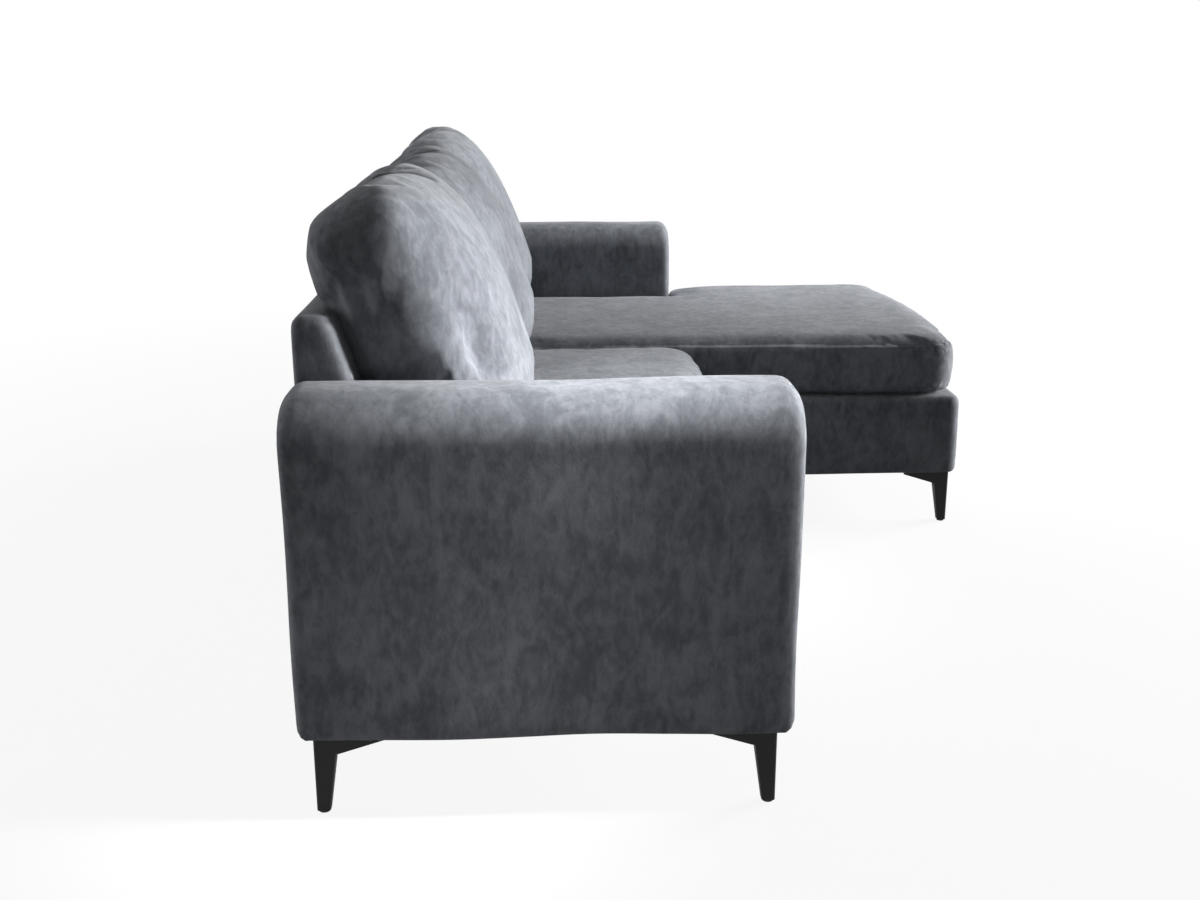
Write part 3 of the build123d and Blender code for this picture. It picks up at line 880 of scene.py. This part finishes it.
@dataclass
class Cushion:
    """A loose cushion: simulated cloth over a filling, drawn in by its seams."""

    name: str
    body: Body
    cover: str
    filling: str
    fill: float
    cap: float
    pressure: float
    seed: float
    bounds_low: Point
    bounds_high: Point
    seams: list[list[Point]]
    start_inset: float
    voxel: float = 0.008
    frames: int = 20
    soften: int = 8
    divided: bool = True
    # Gathers along the seams: their depth, how far from a seam they are felt, and their pattern
    pucker: float = 0.0022
    pucker_reach: float = 0.045
    pucker_felt: float = 3.0
    pucker_seed: float = 31.0
    pucker_bias: float = 0.35
    gather: float = 0.026
    gather_fade: float = 0.09
    # Slow swells of the filling, and how softly the top is held down
    wave: float = 0.16
    wave_height: float = 0.004
    top_softness: float = 0.005
    corded: bool = True
    mould: Callable[[np.ndarray], np.ndarray] | None = None

    def start(self) -> Mesh:
        """Copy the filling's form, merge it, give it even faces and draw it in a little.

        Returns:
            The piece before it is blown up.
        """
        Bench.clear()
        piece = bpy.data.objects.new(self.name, frame["nodes"][self.filling].data.copy())
        bpy.context.scene.collection.objects.link(piece)
        Bench.take(piece)
        bpy.ops.object.mode_set(mode="EDIT")
        bpy.ops.mesh.select_all(action="SELECT")
        bpy.ops.mesh.remove_doubles(threshold=NEAR / 2)
        Bench.remesh(piece, self.voxel, self.soften)
        Bench.put(piece, Bench.points(piece) - Bench.normals(piece) * self.start_inset)
        return piece

    def blow_up(self, piece: Mesh) -> None:
        """Fill the cover by a cloth simulation, and cap how far its points move.

        Args:
            piece: the cover.
        """
        before = Bench.points(piece)
        Bench.take(piece)
        cloth = piece.modifiers.new("Cloth", "CLOTH")
        rules = cloth.settings
        for name, value in CLOTH.items():
            setattr(rules, name, value)
        rules.uniform_pressure_force = self.pressure
        rules.effector_weights.gravity = 0.0
        cloth.point_cache.frame_start = 1
        cloth.point_cache.frame_end = self.frames
        for number in range(1, self.frames + 1):
            bpy.context.scene.frame_set(number)
        bpy.ops.object.modifier_apply(modifier=cloth.name)
        bpy.context.scene.frame_set(1)
        moved = Bench.points(piece) - before
        length = np.linalg.norm(moved, axis=1)
        scale = self.cap / np.maximum(length, self.cap)
        Bench.put(piece, before + moved * scale[:, None])

    def draw_in(self, piece: Mesh) -> None:
        """Gather the cloth along the seams into small dents and swells.

        Args:
            piece: the cover.
        """
        tree = kdtree.KDTree(sum(len(line) for line in self.seams))
        walked = []
        for line in self.seams:
            reach = 0.0
            for i, point in enumerate(line):
                reach += (Vector(point) - Vector(line[i - 1])).length if i else 0.0
                tree.insert(Vector(point), len(walked))
                walked.append(reach)
        tree.balance()
        places = Bench.points(piece)
        out = Bench.normals(piece)
        depth = np.zeros(len(places))
        for i, place in enumerate(places):
            _, index, away = tree.find(Vector(place))
            if away < self.pucker_felt * self.pucker_reach:
                along = walked[index] / self.gather + self.seed * self.pucker_seed
                wave = noise.noise(Vector((along, self.seed, away / self.gather_fade)))
                depth[i] = math.exp(-((away / self.pucker_reach) ** 2)) * (wave - self.pucker_bias)
        Bench.put(piece, places + out * (self.pucker * depth)[:, None])

    def settle(self, piece: Mesh) -> None:
        """Keep the cushion in its space, flat where it rests and softly crowned on top.

        Args:
            piece: the cover.
        """
        places = Bench.points(piece)
        below = (self.bounds_high[2] - places[:, 2]) / self.top_softness
        places[:, 2] = self.bounds_high[2] - self.top_softness * np.logaddexp(0.0, below)
        Bench.put(piece, np.clip(places, np.array(self.bounds_low), np.array(self.bounds_high)))

    def build(self) -> None:
        """Make the cushion and its seams."""
        piece = self.start()
        self.blow_up(piece)
        if self.divided:
            Bench.apply(piece, "SUBSURF", levels=1, render_levels=1)
        if self.mould:
            Bench.put(piece, self.mould(Bench.points(piece)))
        Bench.unevenness(piece, self.wave, self.wave_height, self.seed)
        self.draw_in(piece)
        self.settle(piece)
        Dresser.dress(piece, FINISHES[Slot.VELVET], self.body, (self.cover, self.filling), self.fill)
        for i, line in enumerate(self.seams if self.corded else ()):
            cord = Seam(f"{self.name}_seam_{i + 1}", line, piece).build()
            Dresser.dress(cord, FINISHES[Slot.VELVET], self.body)


@dataclass
class SeatCushions:
    """The two boxed seat cushions and the L-shaped chaise cushion."""

    thickness: float = 0.130
    corner: float = 0.060
    hollow: float = 0.027
    bow: float = 0.008
    chaise_bow: float = 0.028
    draw: float = 0.005
    gap: float = 0.003
    seam_drop: float = 0.004
    start_inset: float = 0.001
    swell: float = 0.016
    nose: float = 0.014
    nose_reach: float = 0.120
    # How far the cloth may stand out of the construction model, and how it is filled
    slack: float = 0.001
    fill: float = 0.85
    cap: float = 0.014
    pressure: float = 3.5
    chaise_voxel: float = 0.0075
    seeds: tuple[float, ...] = (1.0, 2.0)
    chaise_seed: float = 3.0

    def lengthen(self, places: np.ndarray, front: float) -> np.ndarray:
        """Let the front of the chaise cushion stand out over its base.

        Args:
            places: the cushion's points.
            front: how far forward the cushion reaches.

        Returns:
            The points after they are moved.
        """
        share = np.clip(1.0 - (places[:, 1] - front) / self.nose_reach, 0.0, 1.0)
        places[:, 1] -= self.nose * share * share * (3 - 2 * share)
        return places

    def seam_lines(
        self, corners: Sequence[Pair], radii: Sequence[float], bows: Sequence[float], floor: float
    ) -> list[list[Point]]:
        """The lower and upper seams of a boxed cushion.

        Args:
            corners: its plan.
            radii: the radius of each corner.
            bows: how far each side bows inwards.
            floor: the height that it lies at.

        Returns:
            Two closed lines.
        """
        plan = Outline.trace(corners, radii, bows, SEAM_STEP)
        heights = (floor + self.seam_drop, floor + self.thickness + self.seam_drop)
        return [[(x, y, height) for x, y in plan] for height in heights]

    def sew(self, name: str, body: Body, seed: float, seams: list[list[Point]], **more: Any) -> None:
        """Make one cushion.

        Args:
            name: its name, which its nodes' names begin with.
            body: what it moves with.
            seed: shifts the patterns on it.
            seams: its seam lines.
            more: what is different from the other cushions.
        """
        low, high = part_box(f"{name}_cover")
        Cushion(
            name=name,
            body=body,
            cover=f"{name}_cover",
            filling=f"{name}_core",
            fill=self.fill,
            cap=self.cap,
            pressure=self.pressure,
            seed=seed,
            bounds_low=(low.x - self.slack, low.y - self.swell, low.z),
            bounds_high=(high.x + self.slack, high.y + self.slack, high.z),
            seams=seams,
            start_inset=self.start_inset,
            **more,
        ).build()

    def build(self) -> None:
        """Make the three cushions."""
        bodies = (Body.SEAT_RIGHT, Body.SEAT_MIDDLE)
        for seat, body, seed in zip((Seat.RIGHT, Seat.MIDDLE), bodies, self.seeds):
            name = f"seat_cushion_{seat.value}"
            low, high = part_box(f"{name}_cover")
            front = low.y + self.bow
            corners = [(low.x, front), (high.x, front), (high.x, high.y), (low.x, high.y)]
            bows = [-self.bow, self.draw, 0.0, self.draw]
            self.sew(name, body, seed, self.seam_lines(corners, [self.corner] * 4, bows, low.z))
        name = "chaise_cushion"
        low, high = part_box(f"{name}_cover")
        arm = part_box("left_arm_cover")[0]
        front = low.y + self.chaise_bow
        corners = [
            (low.x, front),
            (high.x, front),
            (high.x, arm.y - self.gap),
            (arm.x - self.gap, arm.y - self.gap),
            (arm.x - self.gap, high.y),
            (low.x, high.y),
        ]
        radii = [self.corner, self.corner, self.corner, self.hollow, self.corner, self.corner]
        bows = [-self.chaise_bow, self.draw, self.draw, self.draw, 0.0, self.draw]
        self.sew(
            name,
            Body.CHAISE_CUSHION,
            seed=self.chaise_seed,
            seams=self.seam_lines(corners, radii, bows, low.z),
            voxel=self.chaise_voxel,
            divided=False,
            mould=lambda places: self.lengthen(places, low.y),
        )


@dataclass
class BackCushions:
    """The three plump back cushions, which lean on the back and stand on the seat cushions."""

    lean: float = math.radians(18.5)
    height: float = 0.456
    thickness: float = 0.150
    corner: float = 0.070
    draw: float = 0.007
    right_drops: tuple[float, ...] = (0.048, 0.092, 0.080)
    left_drops: tuple[float, ...] = (0.046, 0.036, 0.046)
    lifts: tuple[float, ...] = (0.014, 0.008, 0.032)
    flattened: tuple[float, ...] = (0.005, 0.008, 0.016)
    arm_sides: tuple[int, ...] = (-1, 0, 1)
    seeds: tuple[float, ...] = (5.0, 6.7, 8.4)
    dome_reach: float = 0.200
    dome_limit: float = 1.3
    # The swelling over an arm, the fold next to it and the crease below it
    ear_height: float = 0.165
    ear_in: float = 0.010
    ear_reach: float = 0.035
    ear_out: float = 0.010
    ear_flat: float = 0.008
    fold_in: float = 0.075
    fold_depth: float = 0.012
    fold_reach: float = 0.034
    fold_window: float = 0.012
    fold_heights: tuple[float, ...] = (0.125, 0.150, 0.175)
    crease_depth: float = 0.008
    crease_reach: float = 0.016
    crease_places: tuple[float, ...] = (0.05, 0.075, 0.10, 0.125)
    # Where the seams lie, and how far the cloth may stand out of the construction model
    seam_out: float = 0.004
    slack: float = 0.001
    swell: float = 0.012
    rear_swell: float = 0.004
    # How the cushions are filled and gathered
    fill: float = 0.7
    cap: float = 0.024
    pressure: float = 4.0
    soften: int = 75
    pucker: float = 0.0018
    pucker_reach: float = 0.055

    def at(self, origin: Vector, across: float, up: float, out: float) -> Point:
        """A place on a leaning cushion.

        Args:
            origin: the middle of its lower rear edge.
            across: distance along the row.
            up: distance up the leaning back.
            out: distance out of the leaning back.

        Returns:
            The place in the frame.
        """
        s, c = math.sin(self.lean), math.cos(self.lean)
        return (origin.x + across, origin.y + up * s - out * c, origin.z + up * c + out * s)

    def domed(self, across: Any, up: Any, half: float, number: int) -> Any:
        """Raise the middle of a cushion's top and lower its ends.

        Args:
            across: distance along the row.
            up: distance up the leaning back.
            half: half the cushion's length.
            number: the cushion's number along the row.

        Returns:
            The distance up after it is changed.
        """
        rise = np.clip((up - self.height + self.dome_reach) / self.dome_reach, 0.0, self.dome_limit)
        drop = np.where(np.asarray(across) < 0.0, self.right_drops[number], self.left_drops[number])
        return up + rise**2 * (self.lifts[number] - drop * (across / half) ** 2)

    def seam_lines(self, origin: Vector, half: float, number: int) -> list[list[Point]]:
        """The rear and front seams of one cushion.

        Args:
            origin: the middle of its lower rear edge.
            half: half its length.
            number: its number along the row.

        Returns:
            Two closed lines.
        """
        lines = []
        for out in (self.seam_out, self.thickness + self.seam_out):
            foot = -out * math.tan(self.lean)
            corners = [(-half, foot), (half, foot), (half, self.height), (-half, self.height)]
            bows = [0.0, self.draw, self.draw, self.draw]
            plan = Outline.trace(corners, [self.corner] * 4, bows, SEAM_STEP)
            raised = [(x, float(self.domed(x, up, half, number))) for x, up in plan]
            lines.append([self.at(origin, x, up, out) for x, up in raised])
        return lines

    def mould(self, places: np.ndarray, origin: Vector, half: float, number: int) -> np.ndarray:
        """Round the top towards both ends, calm the front and press the cushion against its arm.

        Args:
            places: the points of a cushion.
            origin: the middle of its lower rear edge.
            half: half its length.
            number: its number along the row.

        Returns:
            The points after they are moved.
        """
        s, c = math.sin(self.lean), math.cos(self.lean)
        away = places - np.array(origin)
        across = away[:, 0]
        up = away[:, 1] * s + away[:, 2] * c
        out = away[:, 2] * s - away[:, 1] * c
        up = self.domed(across, up, half, number)
        out = out - self.flattened[number] * (out / out.max()) ** 2
        side = self.arm_sides[number]
        if side:
            across, out = self.press((across, up, out), side, half)
        moved = (across, up * s - out * c, up * c + out * s)
        return np.stack(moved, axis=1) + np.array(origin)

    def press(self, local: Local, side: int, half: float) -> list[np.ndarray]:
        """Swell a cushion over the arm beside it, with a fold next to the swelling and a crease below.

        Args:
            local: the points' distances across, up and out.
            side: which end the arm is at.
            half: half the cushion's length.

        Returns:
            The distances across and out after they are changed.
        """
        across, up, out = local
        swelling = (side * (half - self.ear_in), self.ear_height, self.thickness)
        ear = self.near(local, swelling, self.ear_reach)
        across, out = across + side * self.ear_out * ear, out - self.ear_flat * ear
        spot = side * (half - self.fold_in)
        for height in self.fold_heights:
            beside = (abs(across - spot) < self.fold_window) & (abs(up - height) < self.fold_window)
            fold = (spot, height, out[beside].max())
            out = out - self.fold_depth * self.near((across, up, out), fold, self.fold_reach)
        for place in self.crease_places:
            crease = (side * half, self.ear_height, place)
            felt = self.near((across, up, out), crease, self.crease_reach)
            across = across - side * self.crease_depth * felt
        return [across, out]

    @staticmethod
    def near(local: Local, centre: Point, reach: float) -> np.ndarray:
        """How strongly a pull at a place is felt at each point.

        Args:
            local: the points' distances across, up and out.
            centre: the place that is pulled.
            reach: how far the pull is felt.

        Returns:
            1 at the place, falling off to 0.
        """
        square = sum((part - spot) ** 2 for part, spot in zip(local, centre))
        return np.exp(-square / reach**2)

    def build(self) -> None:
        """Make the three cushions."""
        bodies = (Body.BACK_RIGHT, Body.BACK_MIDDLE, Body.BACK_LEFT)
        for i, (seat, body) in enumerate(zip(Seat, bodies)):
            cover = f"back_cushion_{seat.value}_cover"
            low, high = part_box(cover)
            half = (high.x - low.x) / 2
            rear_foot = high.y - self.height * math.sin(self.lean)
            origin = Vector(((low.x + high.x) / 2, rear_foot, low.z))
            Cushion(
                name=f"back_cushion_{seat.value}",
                body=body,
                cover=cover,
                filling=f"back_cushion_{seat.value}_filling",
                fill=self.fill,
                cap=self.cap,
                pressure=self.pressure,
                seed=self.seeds[i],
                soften=self.soften,
                start_inset=0.0,
                corded=False,
                bounds_low=(low.x - self.slack, low.y - self.swell, low.z),
                bounds_high=(high.x + self.slack, high.y + self.rear_swell, high.z + self.swell),
                seams=self.seam_lines(origin, half, i),
                mould=lambda places, origin=origin, half=half, i=i: self.mould(places, origin, half, i),
                pucker=self.pucker,
                pucker_reach=self.pucker_reach,
            ).build()


@dataclass
class Arms:
    """The two padded arms with rolled tops."""

    roll: float = 0.070
    end: float = 0.020
    foot: float = 0.008
    end_drop: float = 0.012
    drop_reach: float = 0.030
    plump: float = 0.004
    wave: float = 0.22
    wave_height: float = 0.004
    seeds: tuple[float, ...] = (11.0, 13.0)
    voxel: float = 0.008

    def shape(self, name: str, low: Vector, high: Vector) -> Mesh:
        """Round a block into an arm.

        Args:
            name: the piece's name.
            low: the arm's lowest corner.
            high: its highest corner.

        Returns:
            The padded arm.
        """
        piece = Bench.block(name, low, high)
        Bench.bevel(piece, Bench.edges(Z, [high.z], Y), self.roll, segments=10)
        Bench.bevel(piece, Bench.edges(Y, [low.y, high.y]), self.end, segments=6)
        Bench.bevel(piece, Bench.edges(Z, [low.z], Y), self.foot, segments=4)
        Bench.remesh(piece, self.voxel, passes=3)
        places = Bench.points(piece)
        away = np.minimum(places[:, 1] - low.y, high.y - places[:, 1])
        lift = np.clip((places[:, 2] - (high.z - 2 * self.roll)) / (2 * self.roll), 0.0, 1.0)
        fall = np.clip(1.0 - away / self.drop_reach, 0.0, 1.0)
        places[:, 2] -= self.end_drop * fall**2 * lift
        Bench.put(piece, places)
        return piece

    def build(self) -> None:
        """Make both arms."""
        for seat, seed in zip((Seat.RIGHT, Seat.LEFT), self.seeds):
            low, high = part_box(f"{seat.value}_arm_cover")
            grown = Vector((0.0, self.plump, 0.0))
            piece = self.shape(f"{seat.value}_arm", low - grown, high + grown)
            Bench.unevenness(piece, self.wave, self.wave_height, seed)
            nodes = (f"{seat.value}_arm_cover", f"{seat.value}_arm_padding")
            Dresser.dress(piece, FINISHES[Slot.VELVET], Body.FRAME, nodes, PADDING_FILL)


@dataclass
class Back:
    """The low leaning back between the arms."""

    edge: float = 0.016
    end_edge: float = 0.012
    foot_depth: float = 0.1065
    deck: float = 0.322
    top_depth: float = 0.050
    front_depth: float = 0.1892
    plump: float = 0.004
    wave: float = 0.3
    wave_height: float = 0.004
    seed: float = 17.0
    voxel: float = 0.009

    def build(self) -> None:
        """Make the padded back."""
        low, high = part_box("back_cover")
        high = high + Vector((0.0, self.plump, 0.0))
        piece = Bench.block("back_frame", low, high)
        Bench.take(piece)
        bpy.ops.object.mode_set(mode="EDIT")
        bpy.ops.mesh.select_all(action="SELECT")
        bpy.ops.mesh.bisect(plane_co=(0.0, 0.0, self.deck), plane_no=(0.0, 0.0, 1.0))
        Bench.clear()
        places = Bench.points(piece)
        front = places[:, 1] < (low.y + high.y) / 2
        depths = ((low.z, self.foot_depth), (self.deck, self.front_depth), (high.z, self.top_depth))
        for height, depth in depths:
            places[front & (abs(places[:, 2] - height) < NEAR), 1] = high.y - self.plump - depth
        Bench.put(piece, places)
        Bench.bevel(piece, Bench.edges(Z, [high.z], X), self.edge, segments=6)
        Bench.bevel(piece, Bench.edges(X, [low.x, high.x]), self.end_edge, segments=5)
        Bench.remesh(piece, self.voxel, passes=5)
        Bench.unevenness(piece, self.wave, self.wave_height, self.seed)
        nodes = ("back_cover", "back_padding")
        Dresser.dress(piece, FINISHES[Slot.VELVET], Body.FRAME, nodes, PADDING_FILL)


@dataclass
class SeatDeck:
    """The upholstered front border and the deck under the seat cushions."""

    edge: float = 0.012
    voxel: float = 0.010

    def build(self) -> None:
        """Make the border and deck as one covered block."""
        low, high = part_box("seat_deck_cover")
        piece = Bench.block("seat_deck", low, high)
        Bench.bevel(piece, Bench.edges(Y, [low.y], X), self.edge, segments=5)
        Bench.remesh(piece, self.voxel, passes=3)
        nodes = ("seat_deck_cover", "seat_deck_pad", "seat_front_pad")
        Dresser.dress(piece, FINISHES[Slot.VELVET], Body.FRAME, nodes, PADDING_FILL)


@dataclass
class ChaiseBase:
    """The covered box that the front of the chaise cushion lies on."""

    corner: float = 0.030
    edge: float = 0.018
    foot: float = 0.008
    plump: float = 0.008
    wave: float = 0.2
    wave_height: float = 0.003
    seed: float = 19.0
    voxel: float = 0.008

    def build(self) -> None:
        """Make the covered box."""
        low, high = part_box("chaise_cover")
        low = low - Vector((0.0, self.plump, 0.0))
        piece = Bench.block("chaise_box", low, high)
        Bench.bevel(piece, lambda a, b: abs(a.z - b.z) > LONG_EDGE, self.corner, segments=6)
        Bench.bevel(piece, Bench.edges(Z, [high.z]), self.edge, segments=5)
        Bench.bevel(piece, Bench.edges(Z, [low.z]), self.foot, segments=3)
        Bench.remesh(piece, self.voxel, passes=4)
        Bench.unevenness(piece, self.wave, self.wave_height, self.seed)
        nodes = ("chaise_cover", "chaise_padding")
        Dresser.dress(piece, FINISHES[Slot.VELVET], Body.CHAISE_BASE, nodes, PADDING_FILL)


@dataclass
class DustCovers:
    """The lining sheets stretched under the seat and the chaise base."""

    sag: float = 0.0012
    thickness: float = 0.001
    columns: int = 48
    rows: int = 32

    def sheet(self, node: str, name: str, body: Body) -> None:
        """Stretch one sheet where its node lies.

        Args:
            node: the construction node.
            name: the piece's name.
            body: what it moves with.
        """
        low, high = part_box(node)
        width, length = high.x - low.x, high.y - low.y
        Bench.clear()
        middle = ((low.x + high.x) / 2, (low.y + high.y) / 2, high.z - self.thickness / 2)
        bpy.ops.mesh.primitive_grid_add(
            x_subdivisions=self.columns, y_subdivisions=self.rows, size=1.0, location=middle
        )
        piece = bpy.context.active_object
        piece.name = name
        piece.scale = (width, length, 1.0)
        bpy.ops.object.transform_apply(location=True, rotation=True, scale=True)
        places = Bench.points(piece)
        across = (places[:, 0] - low.x) / width
        along = (places[:, 1] - low.y) / length
        places[:, 2] -= self.sag * 4 * across * (1 - across) * 4 * along * (1 - along)
        Bench.put(piece, places)
        Bench.apply(piece, "SOLIDIFY", thickness=self.thickness, offset=0.0)
        Dresser.dress(piece, FINISHES[Slot.LINING], body, (node,))

    def build(self) -> None:
        """Make both sheets."""
        self.sheet("seat_dust_cover", "seat_lining", Body.FRAME)
        self.sheet("chaise_dust_cover", "chaise_lining", Body.CHAISE_BASE)


class Hardware:
    """The construction nodes that show as they are: legs, timber, springs, screws and glides."""

    def build(self) -> None:
        """Give each node the finish of its slot."""
        slots = {part["node"]: Slot(part["material_slot"]) for part in frame["record"]["subparts"]}
        for name, node in frame["nodes"].items():
            finish = FINISHES[slots[name]]
            node.data.materials.clear()
            node.data.materials.append(finish.material())
            LOG.info("%s: finished as %s", name, finish.slot.value)


@dataclass(frozen=True)
class Lamp:
    """A square soft light, with its power in watts and its beam's spread in degrees."""

    name: str
    place: Point
    aim: Point
    size: float
    power: float
    spread: float = 180.0

    def hang(self) -> None:
        """Hang the light and aim it."""
        light = bpy.data.lights.new(self.name, "AREA")
        light.shape = "SQUARE"
        light.size = self.size
        light.energy = self.power
        light.spread = math.radians(self.spread)
        holder = bpy.data.objects.new(self.name, light)
        bpy.context.scene.collection.objects.link(holder)
        holder.location = self.place
        way = Vector(self.aim) - Vector(self.place)
        holder.rotation_euler = way.to_track_quat("-Z", "Y").to_euler()


@dataclass
class Studio:
    """A pale floor, soft lights round the sofa, and the camera at its right-hand end."""

    eye: Point = (-2.9669, 0.3419, 1.1035)
    ahead: Point = (0.96078, -0.04424, -0.27376)
    upward: Point = (0.27347, -0.01259, 0.96180)
    lens: float = 40.78
    sensor: float = 36.0
    floor_size: float = 60.0
    floor_pale: Colour = (0.88, 0.88, 0.88)
    floor_dim: Colour = (0.12, 0.12, 0.12)
    floor_soil: float = 0.98
    soil_scale: float = 3.0
    floor_drop: float = 0.0005
    white: tuple[float, ...] = (1.0, 1.0, 1.0, 1.0)
    white_share: float = 0.90
    fade_start: float = 1.6
    fade_end: float = 4.0
    ambient: float = 0.08
    lamps: tuple[Lamp, ...] = (
        Lamp("key", (1.4, -4.2, 1.1), (0.1, 0.1, 0.5), 2.2, 450.0),
        Lamp("front", (-0.9, -3.3, 1.4), (-0.7, 0.35, 0.75), 0.8, 6.0, 22.0),
        Lamp("crown", (1.2, -2.2, 3.0), (0.6, 0.6, 0.93), 0.5, 1.3, 15.0),
        Lamp("seat", (-0.2, 0.0, 2.9), (-0.2, 0.0, 0.0), 0.5, 1.1, 20.0),
        Lamp("arm", (-1.15, -1.2, 2.9), (-1.12, 0.22, 0.65), 0.3, 2.2, 15.0),
        Lamp("far_top", (1.35, -0.3, 2.9), (1.35, -0.3, 0.0), 1.0, 6.5, 45.0),
        Lamp("fill", (-2.9, 0.45, 0.55), (-1.12, 0.33, 0.33), 0.8, 0.52, 40.0),
        Lamp("rear", (0.3, 4.3, 1.4), (0.0, 0.6, 0.4), 2.6, 80.0),
    )

    def floor(self) -> None:
        """Lay the floor: white to the camera, with the sofa's shadow, and dark grey to other rays."""
        Bench.clear()
        bpy.ops.mesh.primitive_plane_add(size=self.floor_size, location=(0.0, 0.0, -self.floor_drop))
        piece = bpy.context.active_object
        piece.name = "studio_floor"
        made = bpy.data.materials.new("studio_floor")
        made.use_nodes = True
        graph = Graph(made.node_tree)
        where = graph.place()
        away = graph.node("ShaderNodeVectorMath", {"operation": "LENGTH"}, {0: where}, "Value")
        fade = graph.spread(away, self.fade_start, self.fade_end, self.white_share, 1.0)
        soil = graph.noise(where, self.soil_scale)
        soiled = tuple(self.floor_soil * part for part in self.floor_pale)
        tint = graph.ramp(soil, ((0.0, self.floor_pale), (1.0, soiled)))
        pale = graph.node("ShaderNodeBsdfDiffuse", {}, {"Color": tint})
        dim = graph.node("ShaderNodeBsdfDiffuse", {}, {"Color": (*self.floor_dim, 1.0)})
        white = graph.node("ShaderNodeEmission", {}, {"Color": self.white, "Strength": 1.0})
        shown = graph.node("ShaderNodeMixShader", {}, {0: fade, 1: pale, 2: white})
        graph.surface(graph.node("ShaderNodeMixShader", {}, {0: self.seen(graph), 1: dim, 2: shown}))
        piece.data.materials.append(made)

    def seen(self, graph: Graph) -> Term:
        """Whether a ray comes from the camera, straight or by way of gloss or glass.

        Args:
            graph: the graph that asks.

        Returns:
            1 if it does, else 0.
        """
        names = ("Is Camera Ray", "Is Glossy Ray", "Is Transmission Ray")
        straight, gloss, glass = [graph.node("ShaderNodeLightPath", {}, {}, name) for name in names]
        return straight + gloss + glass

    def world(self) -> None:
        """Dim light from all round, and white where the camera looks past the floor."""
        world = bpy.data.worlds.new("studio")
        bpy.context.scene.world = world
        world.use_nodes = True
        graph = Graph(world.node_tree)
        dim = graph.node("ShaderNodeBackground", {}, {"Color": self.white, "Strength": self.ambient})
        white = graph.node("ShaderNodeBackground", {}, {"Color": self.white, "Strength": 1.0})
        mixed = graph.node("ShaderNodeMixShader", {}, {0: self.seen(graph), 1: dim, 2: white})
        graph.node("ShaderNodeOutputWorld", {}, {"Surface": mixed})

    def camera(self) -> None:
        """Set the camera where the photograph was taken from."""
        lens = bpy.data.cameras.new("camera")
        lens.lens = self.lens
        lens.sensor_width = self.sensor
        holder = bpy.data.objects.new("camera", lens)
        bpy.context.scene.collection.objects.link(holder)
        ahead, upward = Vector(self.ahead).normalized(), Vector(self.upward).normalized()
        right = ahead.cross(upward)
        turn = Matrix((right, upward, -ahead)).transposed().to_4x4()
        holder.matrix_world = Matrix.Translation(Vector(self.eye)) @ turn
        bpy.context.scene.camera = holder

    def build(self) -> None:
        """Set up the whole studio."""
        bpy.context.scene.view_settings.view_transform = "Standard"
        self.floor()
        for lamp in self.lamps:
            lamp.hang()
        self.world()
        self.camera()


def main() -> None:
    """Build every part of the scene in order."""
    logging.basicConfig(level=logging.INFO, format="%(message)s")
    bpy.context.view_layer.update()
    Studio().build()
    Hardware().build()
    for part in (Arms(), Back(), SeatDeck(), ChaiseBase(), DustCovers(), SeatCushions(), BackCushions()):
        part.build()


if __name__ == "__main__":
    main()
